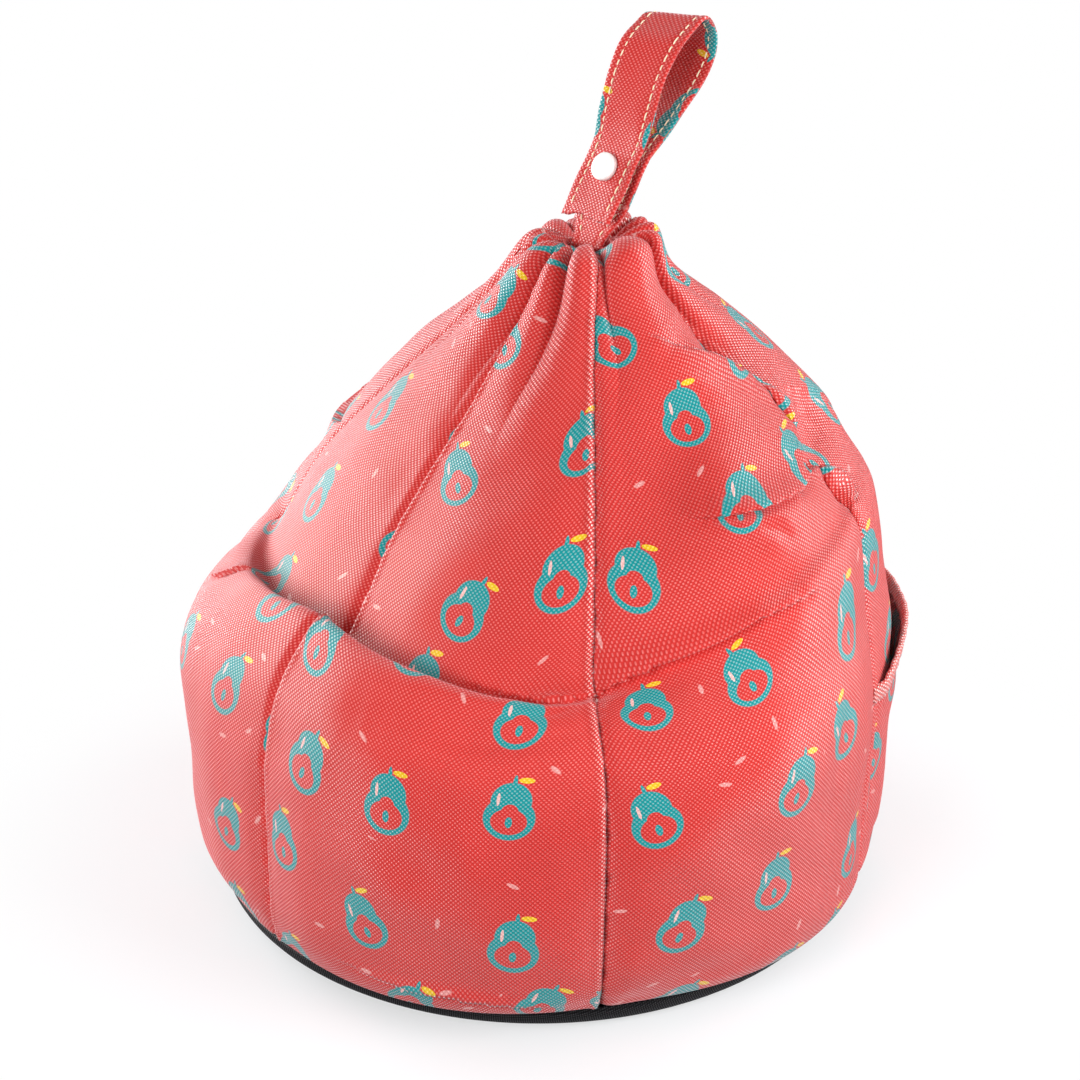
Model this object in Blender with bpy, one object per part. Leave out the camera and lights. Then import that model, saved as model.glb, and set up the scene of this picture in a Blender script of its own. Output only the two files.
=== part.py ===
"""Tablet cushion stand: a six-gore bead-filled cushion whose front ledge holds a tablet, with a
carry strap that fastens by a press stud, a side pocket and a zipped black base.
Metres, +Z up, the front toward -Y, the origin on the ground under the middle of the base."""
import math

import bpy
import bmesh
import numpy as np
from mathutils import Matrix, Vector

# Body of the cushion
BODY_RADIUS = 0.1375
BODY_HEIGHT = 0.2600
GORE_COUNT = 6
COLUMNS_PER_GORE = 6
GORE_BULGE = 0.0075
GORE_SWELL_SHARE = 0.8
PANEL_DROOP = 0.0040
CLOTH_THICKNESS = 0.0008
CLEARANCE = 0.0003
CUT_OVERRUN = 0.0020

# Gathered neck
NECK_RADIUS = 0.0100
NECK_DROP = 0.0030
NECK_HEIGHT = BODY_HEIGHT - NECK_DROP
NECK_SHIFT = 0.0250
PLEAT_DEPTH = 0.0022
PLEATS_PER_GORE = 3
BINDING_THICKNESS = 0.0010
BINDING_HEIGHT = 0.0060

# Base panel
BASE_SEAM_SHARE = 0.95
BASE_SEAM_RADIUS = BASE_SEAM_SHARE * BODY_RADIUS
BASE_SEAM_HEIGHT = 0.0105
BASE_THICKNESS = 0.0016
BASE_ROLL = 0.0095
BASE_FLAT_RADIUS = BASE_SEAM_RADIUS - BASE_ROLL
BASE_INNER_ROLL_SHARE = 0.8
BASE_INNER_RISE_SHARE = 0.3

# Bead bag inside the cover
LINER_THICKNESS = 0.0006
LINER_FLOOR_HEIGHT = 0.0048
LINER_FLOOR_INSET = 0.0130
LINER_FLOOR_RADIUS = BASE_SEAM_RADIUS - LINER_FLOOR_INSET
LINER_MOUTH_RADIUS = 0.0060
LINER_MOUTH_DROP = 0.0120
LINER_MOUTH_HEIGHT = NECK_HEIGHT - LINER_MOUTH_DROP

# Zip in the base, whose length and place follow the base
ZIP_LENGTH_SHARE = 1.3015
ZIP_OFFSET_SHARE = 0.3446
ZIP_LENGTH = ZIP_LENGTH_SHARE * BASE_SEAM_RADIUS
ZIP_OFFSET = ZIP_OFFSET_SHARE * BASE_SEAM_RADIUS
ZIP_SLOT_WIDTH = 0.0095
ZIP_TAPE_WIDTH = 0.0110
ZIP_TAPE_THICKNESS = 0.0005
ZIP_COIL_WIDTH = 0.0022
ZIP_COIL_HEIGHT = 0.0009
ZIP_WEB_GAP = 0.0011
SLIDER_LENGTH = 0.0100
SLIDER_NOSE_LENGTH = 0.0035
SLIDER_WIDTH = 0.0078
SLIDER_TAIL_WIDTH = 0.0060
SLIDER_PLATE = 0.0006
SLIDER_WEB = 0.0005
STOP_LENGTH = 0.0020

# Carry strap
STRAP_WIDTH = 0.0250
STRAP_THICKNESS = 0.0018
STRAP_HEIGHT = 0.0830
STRAP_BOW_SHARE = 0.506
STRAP_BOW = STRAP_BOW_SHARE * STRAP_HEIGHT
STRAP_SIDE_LEAN = 0.0120
STRAP_ROOT_DEPTH = 0.0040
STRAP_ROOT_GAP = 4 * CLEARANCE
STRAP_FREE_END = 0.0200
STRAP_SPLIT = 0.0004
STRAP_YAW = math.radians(5.0)
STRAP_TWIST = math.radians(19.0)

# Press stud, which holds the two legs together a third of the way up the strap
SNAP_HEIGHT_SHARE = 0.3373
SNAP_LEAN_SHARE = 0.0723
SNAP_HEIGHT = SNAP_HEIGHT_SHARE * STRAP_HEIGHT
SNAP_LEAN = SNAP_LEAN_SHARE * STRAP_HEIGHT
SNAP_TILT = math.radians(27.4)
SNAP_CAP_RADIUS = 0.0054
SNAP_CAP_HEIGHT = 0.0030
SNAP_RIM_SHARE = 0.25
SNAP_BACK_HEIGHT = 0.0016
SNAP_BACK_TOP_SHARE = 0.7
SNAP_POST_RADIUS = 0.0012
SNAP_RING_RADIUS = 0.0047
SNAP_SOCKET_TOP_SHARE = 0.8
SNAP_SOCKET_HEIGHT = 0.0024
SNAP_SOCKET_FLOOR = 0.0006
SNAP_KNOB_RADIUS = 0.0021
SNAP_FLANGE_HEIGHT = 0.0008
SNAP_SEGMENTS = 20

# Side pocket
POCKET_GAPE = 0.0064
POCKET_EDGE_GAPE = 0.0012
POCKET_HEM_RADIUS = 0.0013
POCKET_HEM_SIDES = 6
POCKET_SEAM_INSET = 4 * CLOTH_THICKNESS

# Levels of the cover from the base seam to the neck. Each has its shift toward the back and its
# four radii as shares of the body radius, its four heights as shares of the body height, at
# 0, 60, 120 and 180 degrees from the front, and its share of the gore bulge.
LEVEL_SHARES = (
    ("base_roll", 0.0, (0.955, 0.965, 0.985, 0.965), (0.056, 0.054, 0.056, 0.056), 0.25),
    ("lower_wall", 0.0, (0.965, 0.985, 0.985, 0.965), (0.096, 0.094, 0.096, 0.096), 0.75),
    ("waist", 0.0, (0.962, 1.005, 0.990, 0.975), (0.212, 0.215, 0.223, 0.223), 1.0),
    ("widest", 0.0, (0.958, 1.012, 0.995, 0.970), (0.340, 0.342, 0.352, 0.354), 1.0),
    ("shoulder", 0.0, (0.915, 0.985, 0.975, 0.955), (0.437, 0.424, 0.454, 0.462), 0.9),
    ("ledge_front", 0.0, (0.840, 0.905, 0.955, 0.930), (0.500, 0.476, 0.523, 0.531), 0.75),
    ("ledge_crest", 0.0, (0.756, 0.850, 0.935, 0.900), (0.540, 0.505, 0.619, 0.596), 0.65),
    ("groove", 0.0, (0.684, 0.805, 0.910, 0.865), (0.493, 0.520, 0.655, 0.639), 0.62),
    ("rest_foot", 0.015, (0.610, 0.760, 0.855, 0.805), (0.555, 0.570, 0.672, 0.700), 0.6),
    ("rest_low", 0.036, (0.550, 0.680, 0.775, 0.720), (0.625, 0.645, 0.725, 0.762), 0.6),
    ("rest_middle", 0.073, (0.460, 0.530, 0.625, 0.590), (0.705, 0.740, 0.795, 0.825), 0.6),
    ("rest_high", 0.109, (0.340, 0.375, 0.430, 0.420), (0.792, 0.830, 0.870, 0.890), 0.5),
    ("gather_foot", 0.145, (0.225, 0.245, 0.255, 0.250), (0.890, 0.915, 0.940, 0.950), 0.3),
    ("gather_crest", 0.175, (0.153, 0.162, 0.180, 0.190), (0.967, 0.984, 1.000, 1.008), 0.1),
)
STATION_ANGLES = tuple(math.radians(degrees) for degrees in (0, 60, 120, 180))
LEVEL_NAMES = ("base_seam",) + tuple(level[0] for level in LEVEL_SHARES) + ("neck",)
PLEAT_START = LEVEL_NAMES.index("rest_high")
FOOT_LEVEL = LEVEL_NAMES.index("lower_wall")
SHOULDER_LEVEL = LEVEL_NAMES.index("shoulder")
GROOVE_LEVEL = LEVEL_NAMES.index("groove")
CREST_LEVEL = LEVEL_NAMES.index("ledge_crest")
WIDEST_LEVEL = LEVEL_NAMES.index("widest")
NECK_LEVEL = LEVEL_NAMES.index("neck")

# Gores in order round the body from the front seam, each with the share of the droop that
# its lower edge has where it rolls over the base seam.
GORES = (
    ("panel_front_right", 1.0),
    ("panel_right", 0.3),
    ("panel_back_right", 0.3),
    ("panel_back_left", 0.3),
    ("panel_left", 0.3),
    ("panel_front_left", 0.2),
)

# The strap's middle line. It is straight along the press stud, with points at shares of the
# stud's reach, and above it goes by shares of the bow and of the height from the stud to the crown.
STRAIGHT_SHARES = (-1.5, -1.0, 1.0, 1.5)
BACK_LEG_SHARES = ((0.48, 0.185), (0.68, 0.336), (0.88, 0.517), (1.00, 0.713), (0.97, 0.872))
FRONT_LEG_SHARES = ((0.27, 0.215), (0.31, 0.411), (0.37, 0.623), (0.50, 0.819), (0.66, 0.925))

# Mouth of the pocket across its gore, as shares of the way up from its foot, at the lower wall,
# to the shoulder, and how far its cloth stands out in the rows below, as shares of the mouth
POCKET_MOUTH_SHARES = (0.667, 0.790, 0.855, 0.880, 0.885, 0.875, 0.850)
POCKET_ROW_GAPE_SHARES = (0.0, 0.1, 0.45, 1.0)
POCKET_LOW_ROW_SHARE = 0.3

# Section of one half of the zip's coil, flat toward the tape and round on top, as shares of
# its width and height
COIL_SECTION_SHARES = ((0.0, 0.0), (1.0, 0.0), (1.0, 0.6), (0.75, 1.0), (0.25, 1.0), (0.0, 0.6))

CORAL = (0.80, 0.16, 0.12)
BLACK = (0.012, 0.012, 0.013)
WHITE = (0.86, 0.86, 0.86)
BEAD_WHITE = (0.90, 0.90, 0.88)
PALE_LINING = (0.78, 0.62, 0.58)


def clear_scene():
    for item in list(bpy.data.objects):
        bpy.data.objects.remove(item, do_unlink=True)


def make_material(name, colour, roughness):
    material = bpy.data.materials.new(name)
    material.use_nodes = True
    shader = material.node_tree.nodes["Principled BSDF"]
    shader.inputs["Base Color"].default_value = (*colour, 1.0)
    shader.inputs["Roughness"].default_value = roughness
    return material


def add_object(name, mesh, colour, roughness, parent=None, location=(0, 0, 0)):
    piece = bpy.data.objects.new(name, mesh)
    bpy.context.collection.objects.link(piece)
    piece.location = location
    piece.parent = parent
    mesh.materials.append(make_material(name + "_material", colour, roughness))
    mesh.shade_smooth()
    mesh.set_sharp_from_angle(angle=math.radians(40))
    return piece


def add_empty(name, location, yaw=0.0, parent=None):
    empty = bpy.data.objects.new(name, None)
    bpy.context.collection.objects.link(empty)
    empty.location = location
    empty.rotation_euler = (0, 0, yaw)
    empty.parent = parent
    return empty


def add_split_quad(mesh, a, b, c, d):
    """Two triangles that share the diagonal a to c, so that nested skins fold alike."""
    mesh.faces.new((a, b, c))
    mesh.faces.new((a, c, d))


def add_rows(mesh, rings):
    return [[mesh.verts.new(Vector(point)) for point in ring] for ring in rings]


def skin_rows(mesh, rows):
    """Covers the bands between closed rings of corners, from the first ring to the last."""
    count = len(rows[0])
    for lower, upper in zip(rows, rows[1:]):
        for i in range(count):
            j = (i + 1) % count
            add_split_quad(mesh, lower[i], lower[j], upper[j], upper[i])


def mesh_from_rings(name, rings):
    """Skins a list of rings of points, each of the same length, and caps both ends."""
    mesh = bmesh.new()
    rows = add_rows(mesh, rings)
    skin_rows(mesh, rows)
    mesh.faces.new(rows[0])
    mesh.faces.new(rows[-1])
    bmesh.ops.recalc_face_normals(mesh, faces=mesh.faces)
    return finish_mesh(name, mesh)


def finish_mesh(name, mesh):
    data = bpy.data.meshes.new(name)
    mesh.to_mesh(data)
    mesh.free()
    return data


def mesh_from_sheet(name, outer, inner):
    """Joins two equal grids of points, the outer and inner faces of one cloth, round their rim."""
    mesh = bmesh.new()
    front, back = add_rows(mesh, outer), add_rows(mesh, inner)
    rows, columns = len(front), len(front[0])
    for r in range(rows - 1):
        for c in range(columns - 1):
            for face in (front, back):
                add_split_quad(mesh, face[r][c], face[r][c + 1], face[r + 1][c + 1], face[r + 1][c])
    rim = [(0, c) for c in range(columns - 1)] + [(r, columns - 1) for r in range(rows - 1)]
    rim += [(rows - 1, c) for c in range(columns - 1, 0, -1)] + [(r, 0) for r in range(rows - 1, 0, -1)]
    for (r0, c0), (r1, c1) in zip(rim, rim[1:] + rim[:1]):
        mesh.faces.new((front[r0][c0], back[r0][c0], back[r1][c1], front[r1][c1]))
    bmesh.ops.recalc_face_normals(mesh, faces=mesh.faces)
    return finish_mesh(name, mesh)


def mesh_from_profile(name, profile, segments, axis_frame=None):
    """Turns a closed (radius, height) outline about the Z axis. A radius of zero closes on a pole."""
    mesh = bmesh.new()
    rings = []
    for radius, height in profile:
        if radius == 0:
            rings.append([mesh.verts.new(Vector((0, 0, height)))])
            continue
        turns = [2 * math.pi * i / segments for i in range(segments)]
        rings.append([mesh.verts.new((radius * math.sin(a), -radius * math.cos(a), height)) for a in turns])
    closes_on_axis = profile[0][0] == 0 and profile[-1][0] == 0
    pairs = list(zip(rings, rings[1:])) + ([] if closes_on_axis else [(rings[-1], rings[0])])
    for lower, upper in pairs:
        for i in range(segments):
            j = (i + 1) % segments
            if len(lower) == 1:
                mesh.faces.new((lower[0], upper[j], upper[i]))
            elif len(upper) == 1:
                mesh.faces.new((lower[i], lower[j], upper[0]))
            else:
                mesh.faces.new((lower[i], lower[j], upper[j], upper[i]))
    bmesh.ops.recalc_face_normals(mesh, faces=mesh.faces)
    if axis_frame is not None:
        mesh.transform(axis_frame)
    return finish_mesh(name, mesh)


def mesh_from_outline(name, outline, low, high):
    """Extrudes a flat outline of (x, y) points from the height low to the height high."""
    rings = [[(x, y, height) for x, y in outline] for height in (low, high)]
    return mesh_from_rings(name, rings)


def cut_with(piece, cutter):
    cutter.hide_render = True
    cutter.display_type = "WIRE"
    boolean = piece.modifiers.new("cut_" + cutter.name, "BOOLEAN")
    boolean.operation = "DIFFERENCE"
    boolean.object = cutter


# Cover surface

def around(values, angle):
    """The even cosine curve round the body that passes through one value at each station."""
    orders = np.arange(len(STATION_ANGLES))
    weights = np.linalg.solve(np.cos(np.outer(STATION_ANGLES, orders)), np.array(values, float))
    return np.cos(np.multiply.outer(angle, orders)) @ weights


def gore_swell(angle):
    """Zero on every seam and one midway between two seams."""
    return np.abs(np.sin(GORE_COUNT * angle / 2)) ** GORE_SWELL_SHARE


def cover_levels(angle):
    """The points of every level at the given angles, as an array of (level, angle, xyz)."""
    across, along = np.sin(angle), -np.cos(angle)
    flat = np.ones_like(angle)
    levels = [np.stack([BASE_SEAM_RADIUS * across, BASE_SEAM_RADIUS * along, BASE_SEAM_HEIGHT * flat], -1)]
    droop_share = np.array([share for _, share in GORES])
    gore = np.floor(angle / (2 * math.pi / GORE_COUNT)).astype(int) % GORE_COUNT
    for name, shift, radii, heights, bulge in LEVEL_SHARES:
        radius = BODY_RADIUS * around(radii, angle) + GORE_BULGE * bulge * gore_swell(angle)
        height = BODY_HEIGHT * around(heights, angle)
        if name == "base_roll":
            height = height - PANEL_DROOP * droop_share[gore] * gore_swell(angle)
        levels.append(np.stack([radius * across, BODY_RADIUS * shift + radius * along, height], -1))
    levels.append(np.stack([NECK_RADIUS * across, NECK_SHIFT + NECK_RADIUS * along, NECK_HEIGHT * flat], -1))
    return np.array(levels)


def smooth_cover(angle, level):
    """A Catmull-Rom curve up the levels, at each pair of an angle and a level."""
    points = cover_levels(angle)
    last = len(points) - 1
    start = np.clip(np.floor(level).astype(int), 0, last - 1)
    part = (level - start)[:, None]
    column = np.arange(len(angle))
    before, first = points[np.maximum(start - 1, 0), column], points[start, column]
    second, after = points[start + 1, column], points[np.minimum(start + 2, last), column]
    return 0.5 * (2 * first + (second - before) * part
                  + (2 * before - 5 * first + 4 * second - after) * part ** 2
                  + (3 * first - before - 3 * second + after) * part ** 3)


def cover_points(angle, level, depth):
    """Points of the cover at the given depth under its outer face, with the pleats of the neck."""
    angle, level = np.broadcast_arrays(np.asarray(angle, float), np.asarray(level, float))
    shape = angle.shape
    angle, level = angle.ravel(), level.ravel()
    turn, rise = math.radians(1.0), 0.02
    top = NECK_LEVEL
    higher, lower = np.minimum(level + rise, top), np.maximum(level - rise, 0)
    around_step = smooth_cover(angle + turn, level) - smooth_cover(angle - turn, level)
    up_step = smooth_cover(angle, higher) - smooth_cover(angle, lower)
    normal = np.cross(around_step, up_step)
    normal /= np.linalg.norm(normal, axis=-1, keepdims=True)
    start, crest = PLEAT_START, NECK_LEVEL - 1
    pleat_share = np.clip((level - start) / (crest - start), 0, 1) * np.clip(NECK_LEVEL - level, 0, 1)
    pleat = PLEAT_DEPTH * pleat_share * np.cos(PLEATS_PER_GORE * GORE_COUNT * angle)
    return (smooth_cover(angle, level) + normal * (pleat - depth)[:, None]).reshape(*shape, 3)


def gore_angles(index):
    width = 2 * math.pi / GORE_COUNT
    return np.array([width * (index + c / COLUMNS_PER_GORE) for c in range(COLUMNS_PER_GORE + 1)])


def cover_rows():
    """Every level, with a row added in each bend of the ledge, the groove and the neck."""
    extra = [CREST_LEVEL - 0.5, CREST_LEVEL + 0.5, GROOVE_LEVEL + 0.5, NECK_LEVEL - 0.5]
    return np.array(sorted(list(range(NECK_LEVEL + 1)) + extra))


def spread_edges(grid, angles, gap):
    """Draws the first and last columns of a gore back from its seams by half the gap."""
    for column, side in ((0, 1), (-1, -1)):
        sideways = np.array([math.cos(angles[column]), math.sin(angles[column]), 0])
        grid[:, column] += side * gap / 2 * sideways
    return grid


def gore_grid(index, rows, depth):
    angles = gore_angles(index)
    return spread_edges(cover_points(angles[None, :], rows[:, None], depth), angles, CLEARANCE)


def make_gores():
    rows = cover_rows()
    for index, (name, _) in enumerate(GORES):
        outer = gore_grid(index, rows, 0)
        inner = gore_grid(index, rows, CLOTH_THICKNESS)
        add_object(name, mesh_from_sheet(name, outer, inner), CORAL, 0.62)


# Bead bag and its filling, which follow the cover from just inside it

def bag_rings(depth, floor_height, mouth_height):
    angles = np.arange(GORE_COUNT * COLUMNS_PER_GORE) * 2 * math.pi / (GORE_COUNT * COLUMNS_PER_GORE)
    rings = []
    floor_radius = LINER_FLOOR_RADIUS - depth
    for radius in (LINER_MOUTH_RADIUS, floor_radius / 2, floor_radius):
        rings.append([(radius * math.sin(a), -radius * math.cos(a), floor_height) for a in angles])
    rows = cover_rows()
    for row in rows[(rows >= 2) & (rows < NECK_LEVEL - 0.5)]:
        rings.append([tuple(point) for point in cover_points(angles, row, depth)])
    mouth = LINER_MOUTH_RADIUS
    rings.append([(mouth * math.sin(a), NECK_SHIFT - mouth * math.cos(a), mouth_height) for a in angles])
    return rings


def make_bead_bag():
    outer_depth = CLOTH_THICKNESS + CLEARANCE
    inner_depth = outer_depth + LINER_THICKNESS
    outer = bag_rings(outer_depth, LINER_FLOOR_HEIGHT, LINER_MOUTH_HEIGHT)
    inner = bag_rings(inner_depth, LINER_FLOOR_HEIGHT + LINER_THICKNESS, LINER_MOUTH_HEIGHT - LINER_THICKNESS)
    mesh = bmesh.new()
    outer_rows, inner_rows = add_rows(mesh, outer), add_rows(mesh, inner)
    skin_rows(mesh, outer_rows)
    skin_rows(mesh, inner_rows)
    skin_rows(mesh, (inner_rows[-1], outer_rows[-1]))
    mesh.faces.new(outer_rows[0])
    mesh.faces.new(inner_rows[0])
    bmesh.ops.recalc_face_normals(mesh, faces=mesh.faces)
    add_object("bead_bag", finish_mesh("bead_bag", mesh), BEAD_WHITE, 0.8)


def make_bead_fill():
    depth = CLOTH_THICKNESS + LINER_THICKNESS + 2 * CLEARANCE
    floor_height = LINER_FLOOR_HEIGHT + LINER_THICKNESS + CLEARANCE
    mouth_height = LINER_MOUTH_HEIGHT - LINER_THICKNESS - CLEARANCE
    mesh = mesh_from_rings("bead_fill", bag_rings(depth, floor_height, mouth_height))
    add_object("bead_fill", mesh, BEAD_WHITE, 0.9)


# Base panel and zip

def make_base():
    edge = BASE_SEAM_RADIUS
    flat = BASE_FLAT_RADIUS
    wall = BASE_THICKNESS
    top = BASE_SEAM_HEIGHT - CLEARANCE
    rise = edge - flat
    outer = [(flat + rise * math.sin(a), top - top * math.cos(a)) for a in np.radians((0, 30, 60, 90))]
    inside = [(edge - wall, top), (flat + (rise - wall) * BASE_INNER_ROLL_SHARE,
                                   wall + (top - wall) * BASE_INNER_RISE_SHARE), (flat, wall)]
    profile = [(0, 0)] + outer + inside + [(0, wall)]
    segments = GORE_COUNT * COLUMNS_PER_GORE
    base = add_object("base_panel", mesh_from_profile("base_panel", profile, segments), BLACK, 0.7)
    half_length, half_width = ZIP_LENGTH / 2, ZIP_SLOT_WIDTH / 2
    outline = slot_outline(half_length, half_width)
    cutter_mesh = mesh_from_outline("zip_slot", outline, -CUT_OVERRUN, wall + CUT_OVERRUN)
    cutter = bpy.data.objects.new("zip_slot", cutter_mesh)
    bpy.context.collection.objects.link(cutter)
    cutter.location = (0, ZIP_OFFSET, 0)
    cut_with(base, cutter)


def slot_outline(half_length, half_width):
    """A long slot with round ends, as (x, y) points."""
    ends = []
    for side in (1, -1):
        centre = side * (half_length - half_width)
        for degrees in (-90, -45, 0, 45, 90):
            a = math.radians(degrees)
            ends.append((centre + side * half_width * math.cos(a), side * half_width * math.sin(a)))
    return ends


def make_zip():
    tape_low = BASE_THICKNESS + CLEARANCE
    tape_high = tape_low + ZIP_TAPE_THICKNESS
    coil_low = tape_high + CLEARANCE
    coil_high = coil_low + ZIP_COIL_HEIGHT
    half = ZIP_LENGTH / 2
    inner_edge = ZIP_WEB_GAP / 2
    outer_edge = inner_edge + ZIP_TAPE_WIDTH
    for name, side in (("zip_tape_front", -1), ("zip_tape_back", 1)):
        outline = [(-half, side * inner_edge), (half, side * inner_edge),
                   (half, side * outer_edge), (-half, side * outer_edge)]
        mesh = mesh_from_outline(name, outline, tape_low, tape_high)
        add_object(name, mesh, BLACK, 0.8, location=(0, ZIP_OFFSET, 0))
    reach = half - STOP_LENGTH - CLEARANCE
    for name, side in (("zip_coil_front", -1), ("zip_coil_back", 1)):
        rings = []
        for x in (-reach, reach):
            rings.append([(x, side * (inner_edge + across * ZIP_COIL_WIDTH), coil_low + up * ZIP_COIL_HEIGHT)
                          for across, up in COIL_SECTION_SHARES])
        add_object(name, mesh_from_rings(name, rings), BLACK, 0.4, location=(0, ZIP_OFFSET, 0))
    make_zip_stops(half, coil_low, coil_high)
    make_slider(tape_low, coil_high, reach)


def make_zip_stops(half, low, high):
    width = ZIP_WEB_GAP + 2 * ZIP_COIL_WIDTH
    for name, side in (("zip_stop_left", -1), ("zip_stop_right", 1)):
        ends = sorted((side * half, side * (half - STOP_LENGTH)))
        outline = [(ends[0], -width / 2), (ends[1], -width / 2), (ends[1], width / 2), (ends[0], width / 2)]
        mesh = mesh_from_outline(name, outline, low, high)
        add_object(name, mesh, BLACK, 0.35, location=(0, ZIP_OFFSET, 0))


def slider_outline(length, nose, width, tail):
    """A slider seen from below, wide at the nose where the two rows part and narrow at the tail."""
    half = length / 2
    return [(-half, -tail / 2), (half - nose, -width / 2), (half, -width / 4),
            (half, width / 4), (half - nose, width / 2), (-half, tail / 2)]


def make_slider(tape_low, coil_high, reach):
    """Two plates joined by a thin web that runs between the rows of the coil."""
    plate = slider_outline(SLIDER_LENGTH, SLIDER_NOSE_LENGTH, SLIDER_WIDTH, SLIDER_TAIL_WIDTH)
    reach_in, half_web = SLIDER_LENGTH / 2 - SLIDER_PLATE, SLIDER_WEB / 2
    web = [(-reach_in, -half_web), (reach_in, -half_web), (reach_in, half_web), (-reach_in, half_web)]
    lower_top = tape_low - CLEARANCE
    upper_low = coil_high + CLEARANCE
    place = Vector((-reach + SLIDER_LENGTH / 2 + CLEARANCE, ZIP_OFFSET, 0))
    mesh = bmesh.new()
    lower = [[mesh.verts.new((x, y, z)) for x, y in plate] for z in (lower_top - SLIDER_PLATE, lower_top)]
    upper = [[mesh.verts.new((x, y, z)) for x, y in plate] for z in (upper_low, upper_low + SLIDER_PLATE)]
    neck = [[mesh.verts.new((x, y, z)) for x, y in web] for z in (lower_top, upper_low)]
    for pair in (lower, upper, neck):
        for i in range(len(pair[0])):
            j = (i + 1) % len(pair[0])
            mesh.faces.new((pair[0][i], pair[0][j], pair[1][j], pair[1][i]))
    mesh.faces.new(list(reversed(lower[0])))
    mesh.faces.new(upper[1])
    for ring, hole in ((lower[1], neck[0]), (upper[0], neck[1])):
        edges = [mesh.edges.get((ring[i], ring[(i + 1) % len(ring)])) for i in range(len(ring))]
        edges += [mesh.edges.get((hole[i], hole[(i + 1) % len(hole)])) for i in range(len(hole))]
        bmesh.ops.triangle_fill(mesh, use_beauty=True, edges=edges)
    bmesh.ops.recalc_face_normals(mesh, faces=mesh.faces)
    add_object("zip_slider", finish_mesh("zip_slider", mesh), BLACK, 0.35, location=place)


# Strap

def curve_through(points, steps):
    """A Catmull-Rom curve through the points, with the given number of steps to each span."""
    points = [np.array(point, float) for point in points]
    padded = [2 * points[0] - points[1]] + points + [2 * points[-1] - points[-2]]
    curve = []
    for before, first, second, after in zip(padded, padded[1:], padded[2:], padded[3:]):
        for i in range(steps):
            part = i / steps
            curve.append(0.5 * (2 * first + (second - before) * part
                                + (2 * before - 5 * first + 4 * second - after) * part ** 2
                                + (3 * first - before - 3 * second + after) * part ** 3))
    curve.append(points[-1])
    return curve


def snap_direction():
    """The stud's axis in the strap's (back, up) plane, pointing out of the front leg."""
    return np.array([-math.cos(SNAP_TILT), math.sin(SNAP_TILT)])


def leg_direction():
    """Straight up along the legs where the stud holds them together."""
    return np.array([math.sin(SNAP_TILT), math.cos(SNAP_TILT)])


def snap_spacing():
    """From the middle of one leg's cloth to the middle of the other's, along the stud."""
    return STRAP_THICKNESS + SNAP_SOCKET_HEIGHT + SNAP_FLANGE_HEIGHT + 3 * CLEARANCE


def front_snap_point():
    return np.array([SNAP_LEAN, SNAP_HEIGHT])


def back_snap_point():
    return front_snap_point() - snap_spacing() * snap_direction()


def crown_point():
    """Where the two legs meet, straight above the stud along the front leg."""
    top = STRAP_HEIGHT - STRAP_THICKNESS / 2
    run = (top - SNAP_HEIGHT) / math.cos(SNAP_TILT)
    return front_snap_point() + run * leg_direction()


def strap_rings(path, root_width, end_direction):
    """Flat sections along a path in the (back, up) plane, which widen from a folded root and
    turn sideways toward the crown, where the last one faces along end_direction."""
    rings = []
    flare = SNAP_HEIGHT / 2
    for index, point in enumerate(path):
        ahead = path[min(index + 1, len(path) - 1)] - path[max(index - 1, 0)]
        if index == len(path) - 1:
            ahead = np.array([end_direction, 0])
        flare_share = min(1.0, max(0.0, point[1] / flare))
        width = root_width + (STRAP_WIDTH - root_width) * flare_share
        twist = STRAP_TWIST * max(0.0, (point[1] - SNAP_HEIGHT) / (STRAP_HEIGHT - SNAP_HEIGHT))
        side = Vector((math.cos(twist), math.sin(twist), 0))
        face = side.cross(Vector((0, ahead[0], ahead[1]))).normalized()
        lean = STRAP_SIDE_LEAN * max(0.0, point[1] / STRAP_HEIGHT)
        centre = Vector((lean, point[0], point[1]))
        across, through = side * width / 2, face * STRAP_THICKNESS / 2
        rings.append([centre - across - through, centre + across - through,
                      centre + across + through, centre - across + through])
    return rings


def leg_point(bow_share, height_share):
    return np.array([STRAP_BOW * bow_share, SNAP_HEIGHT + (STRAP_HEIGHT - SNAP_HEIGHT) * height_share])


def straight_points(middle):
    """Points along a leg that keep it flat where the stud's plates grip it."""
    reach = SNAP_CAP_RADIUS + CLEARANCE
    return [middle + reach * share * leg_direction() for share in STRAIGHT_SHARES]


def make_strap(swing, opening, crown):
    gap = np.array([STRAP_SPLIT / 2, 0])
    back_points = [(0, -STRAP_ROOT_DEPTH), (0, 0)] + straight_points(back_snap_point())
    back_points += [leg_point(*shares) for shares in BACK_LEG_SHARES] + [crown + gap]
    front_snap = front_snap_point()
    front_points = [front_snap - STRAP_FREE_END * leg_direction()] + straight_points(front_snap)
    front_points += [leg_point(*shares) for shares in FRONT_LEG_SHARES] + [crown - gap]
    root_width = 2 * (NECK_RADIUS - BINDING_THICKNESS - STRAP_ROOT_GAP)
    back_path = curve_through(back_points, 2)
    front_path = curve_through(front_points, 2)
    back_mesh = mesh_from_rings("strap_back_leg", strap_rings(back_path, root_width, -1))
    back = add_object("strap_back_leg", back_mesh, CORAL, 0.62, parent=swing)
    front_mesh = mesh_from_rings("strap_front_leg", strap_rings(front_path, STRAP_WIDTH, 1))
    front_mesh.transform(Matrix.Translation(-opening.location))
    front = add_object("strap_front_leg", front_mesh, CORAL, 0.62, parent=opening)
    return back, front


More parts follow.
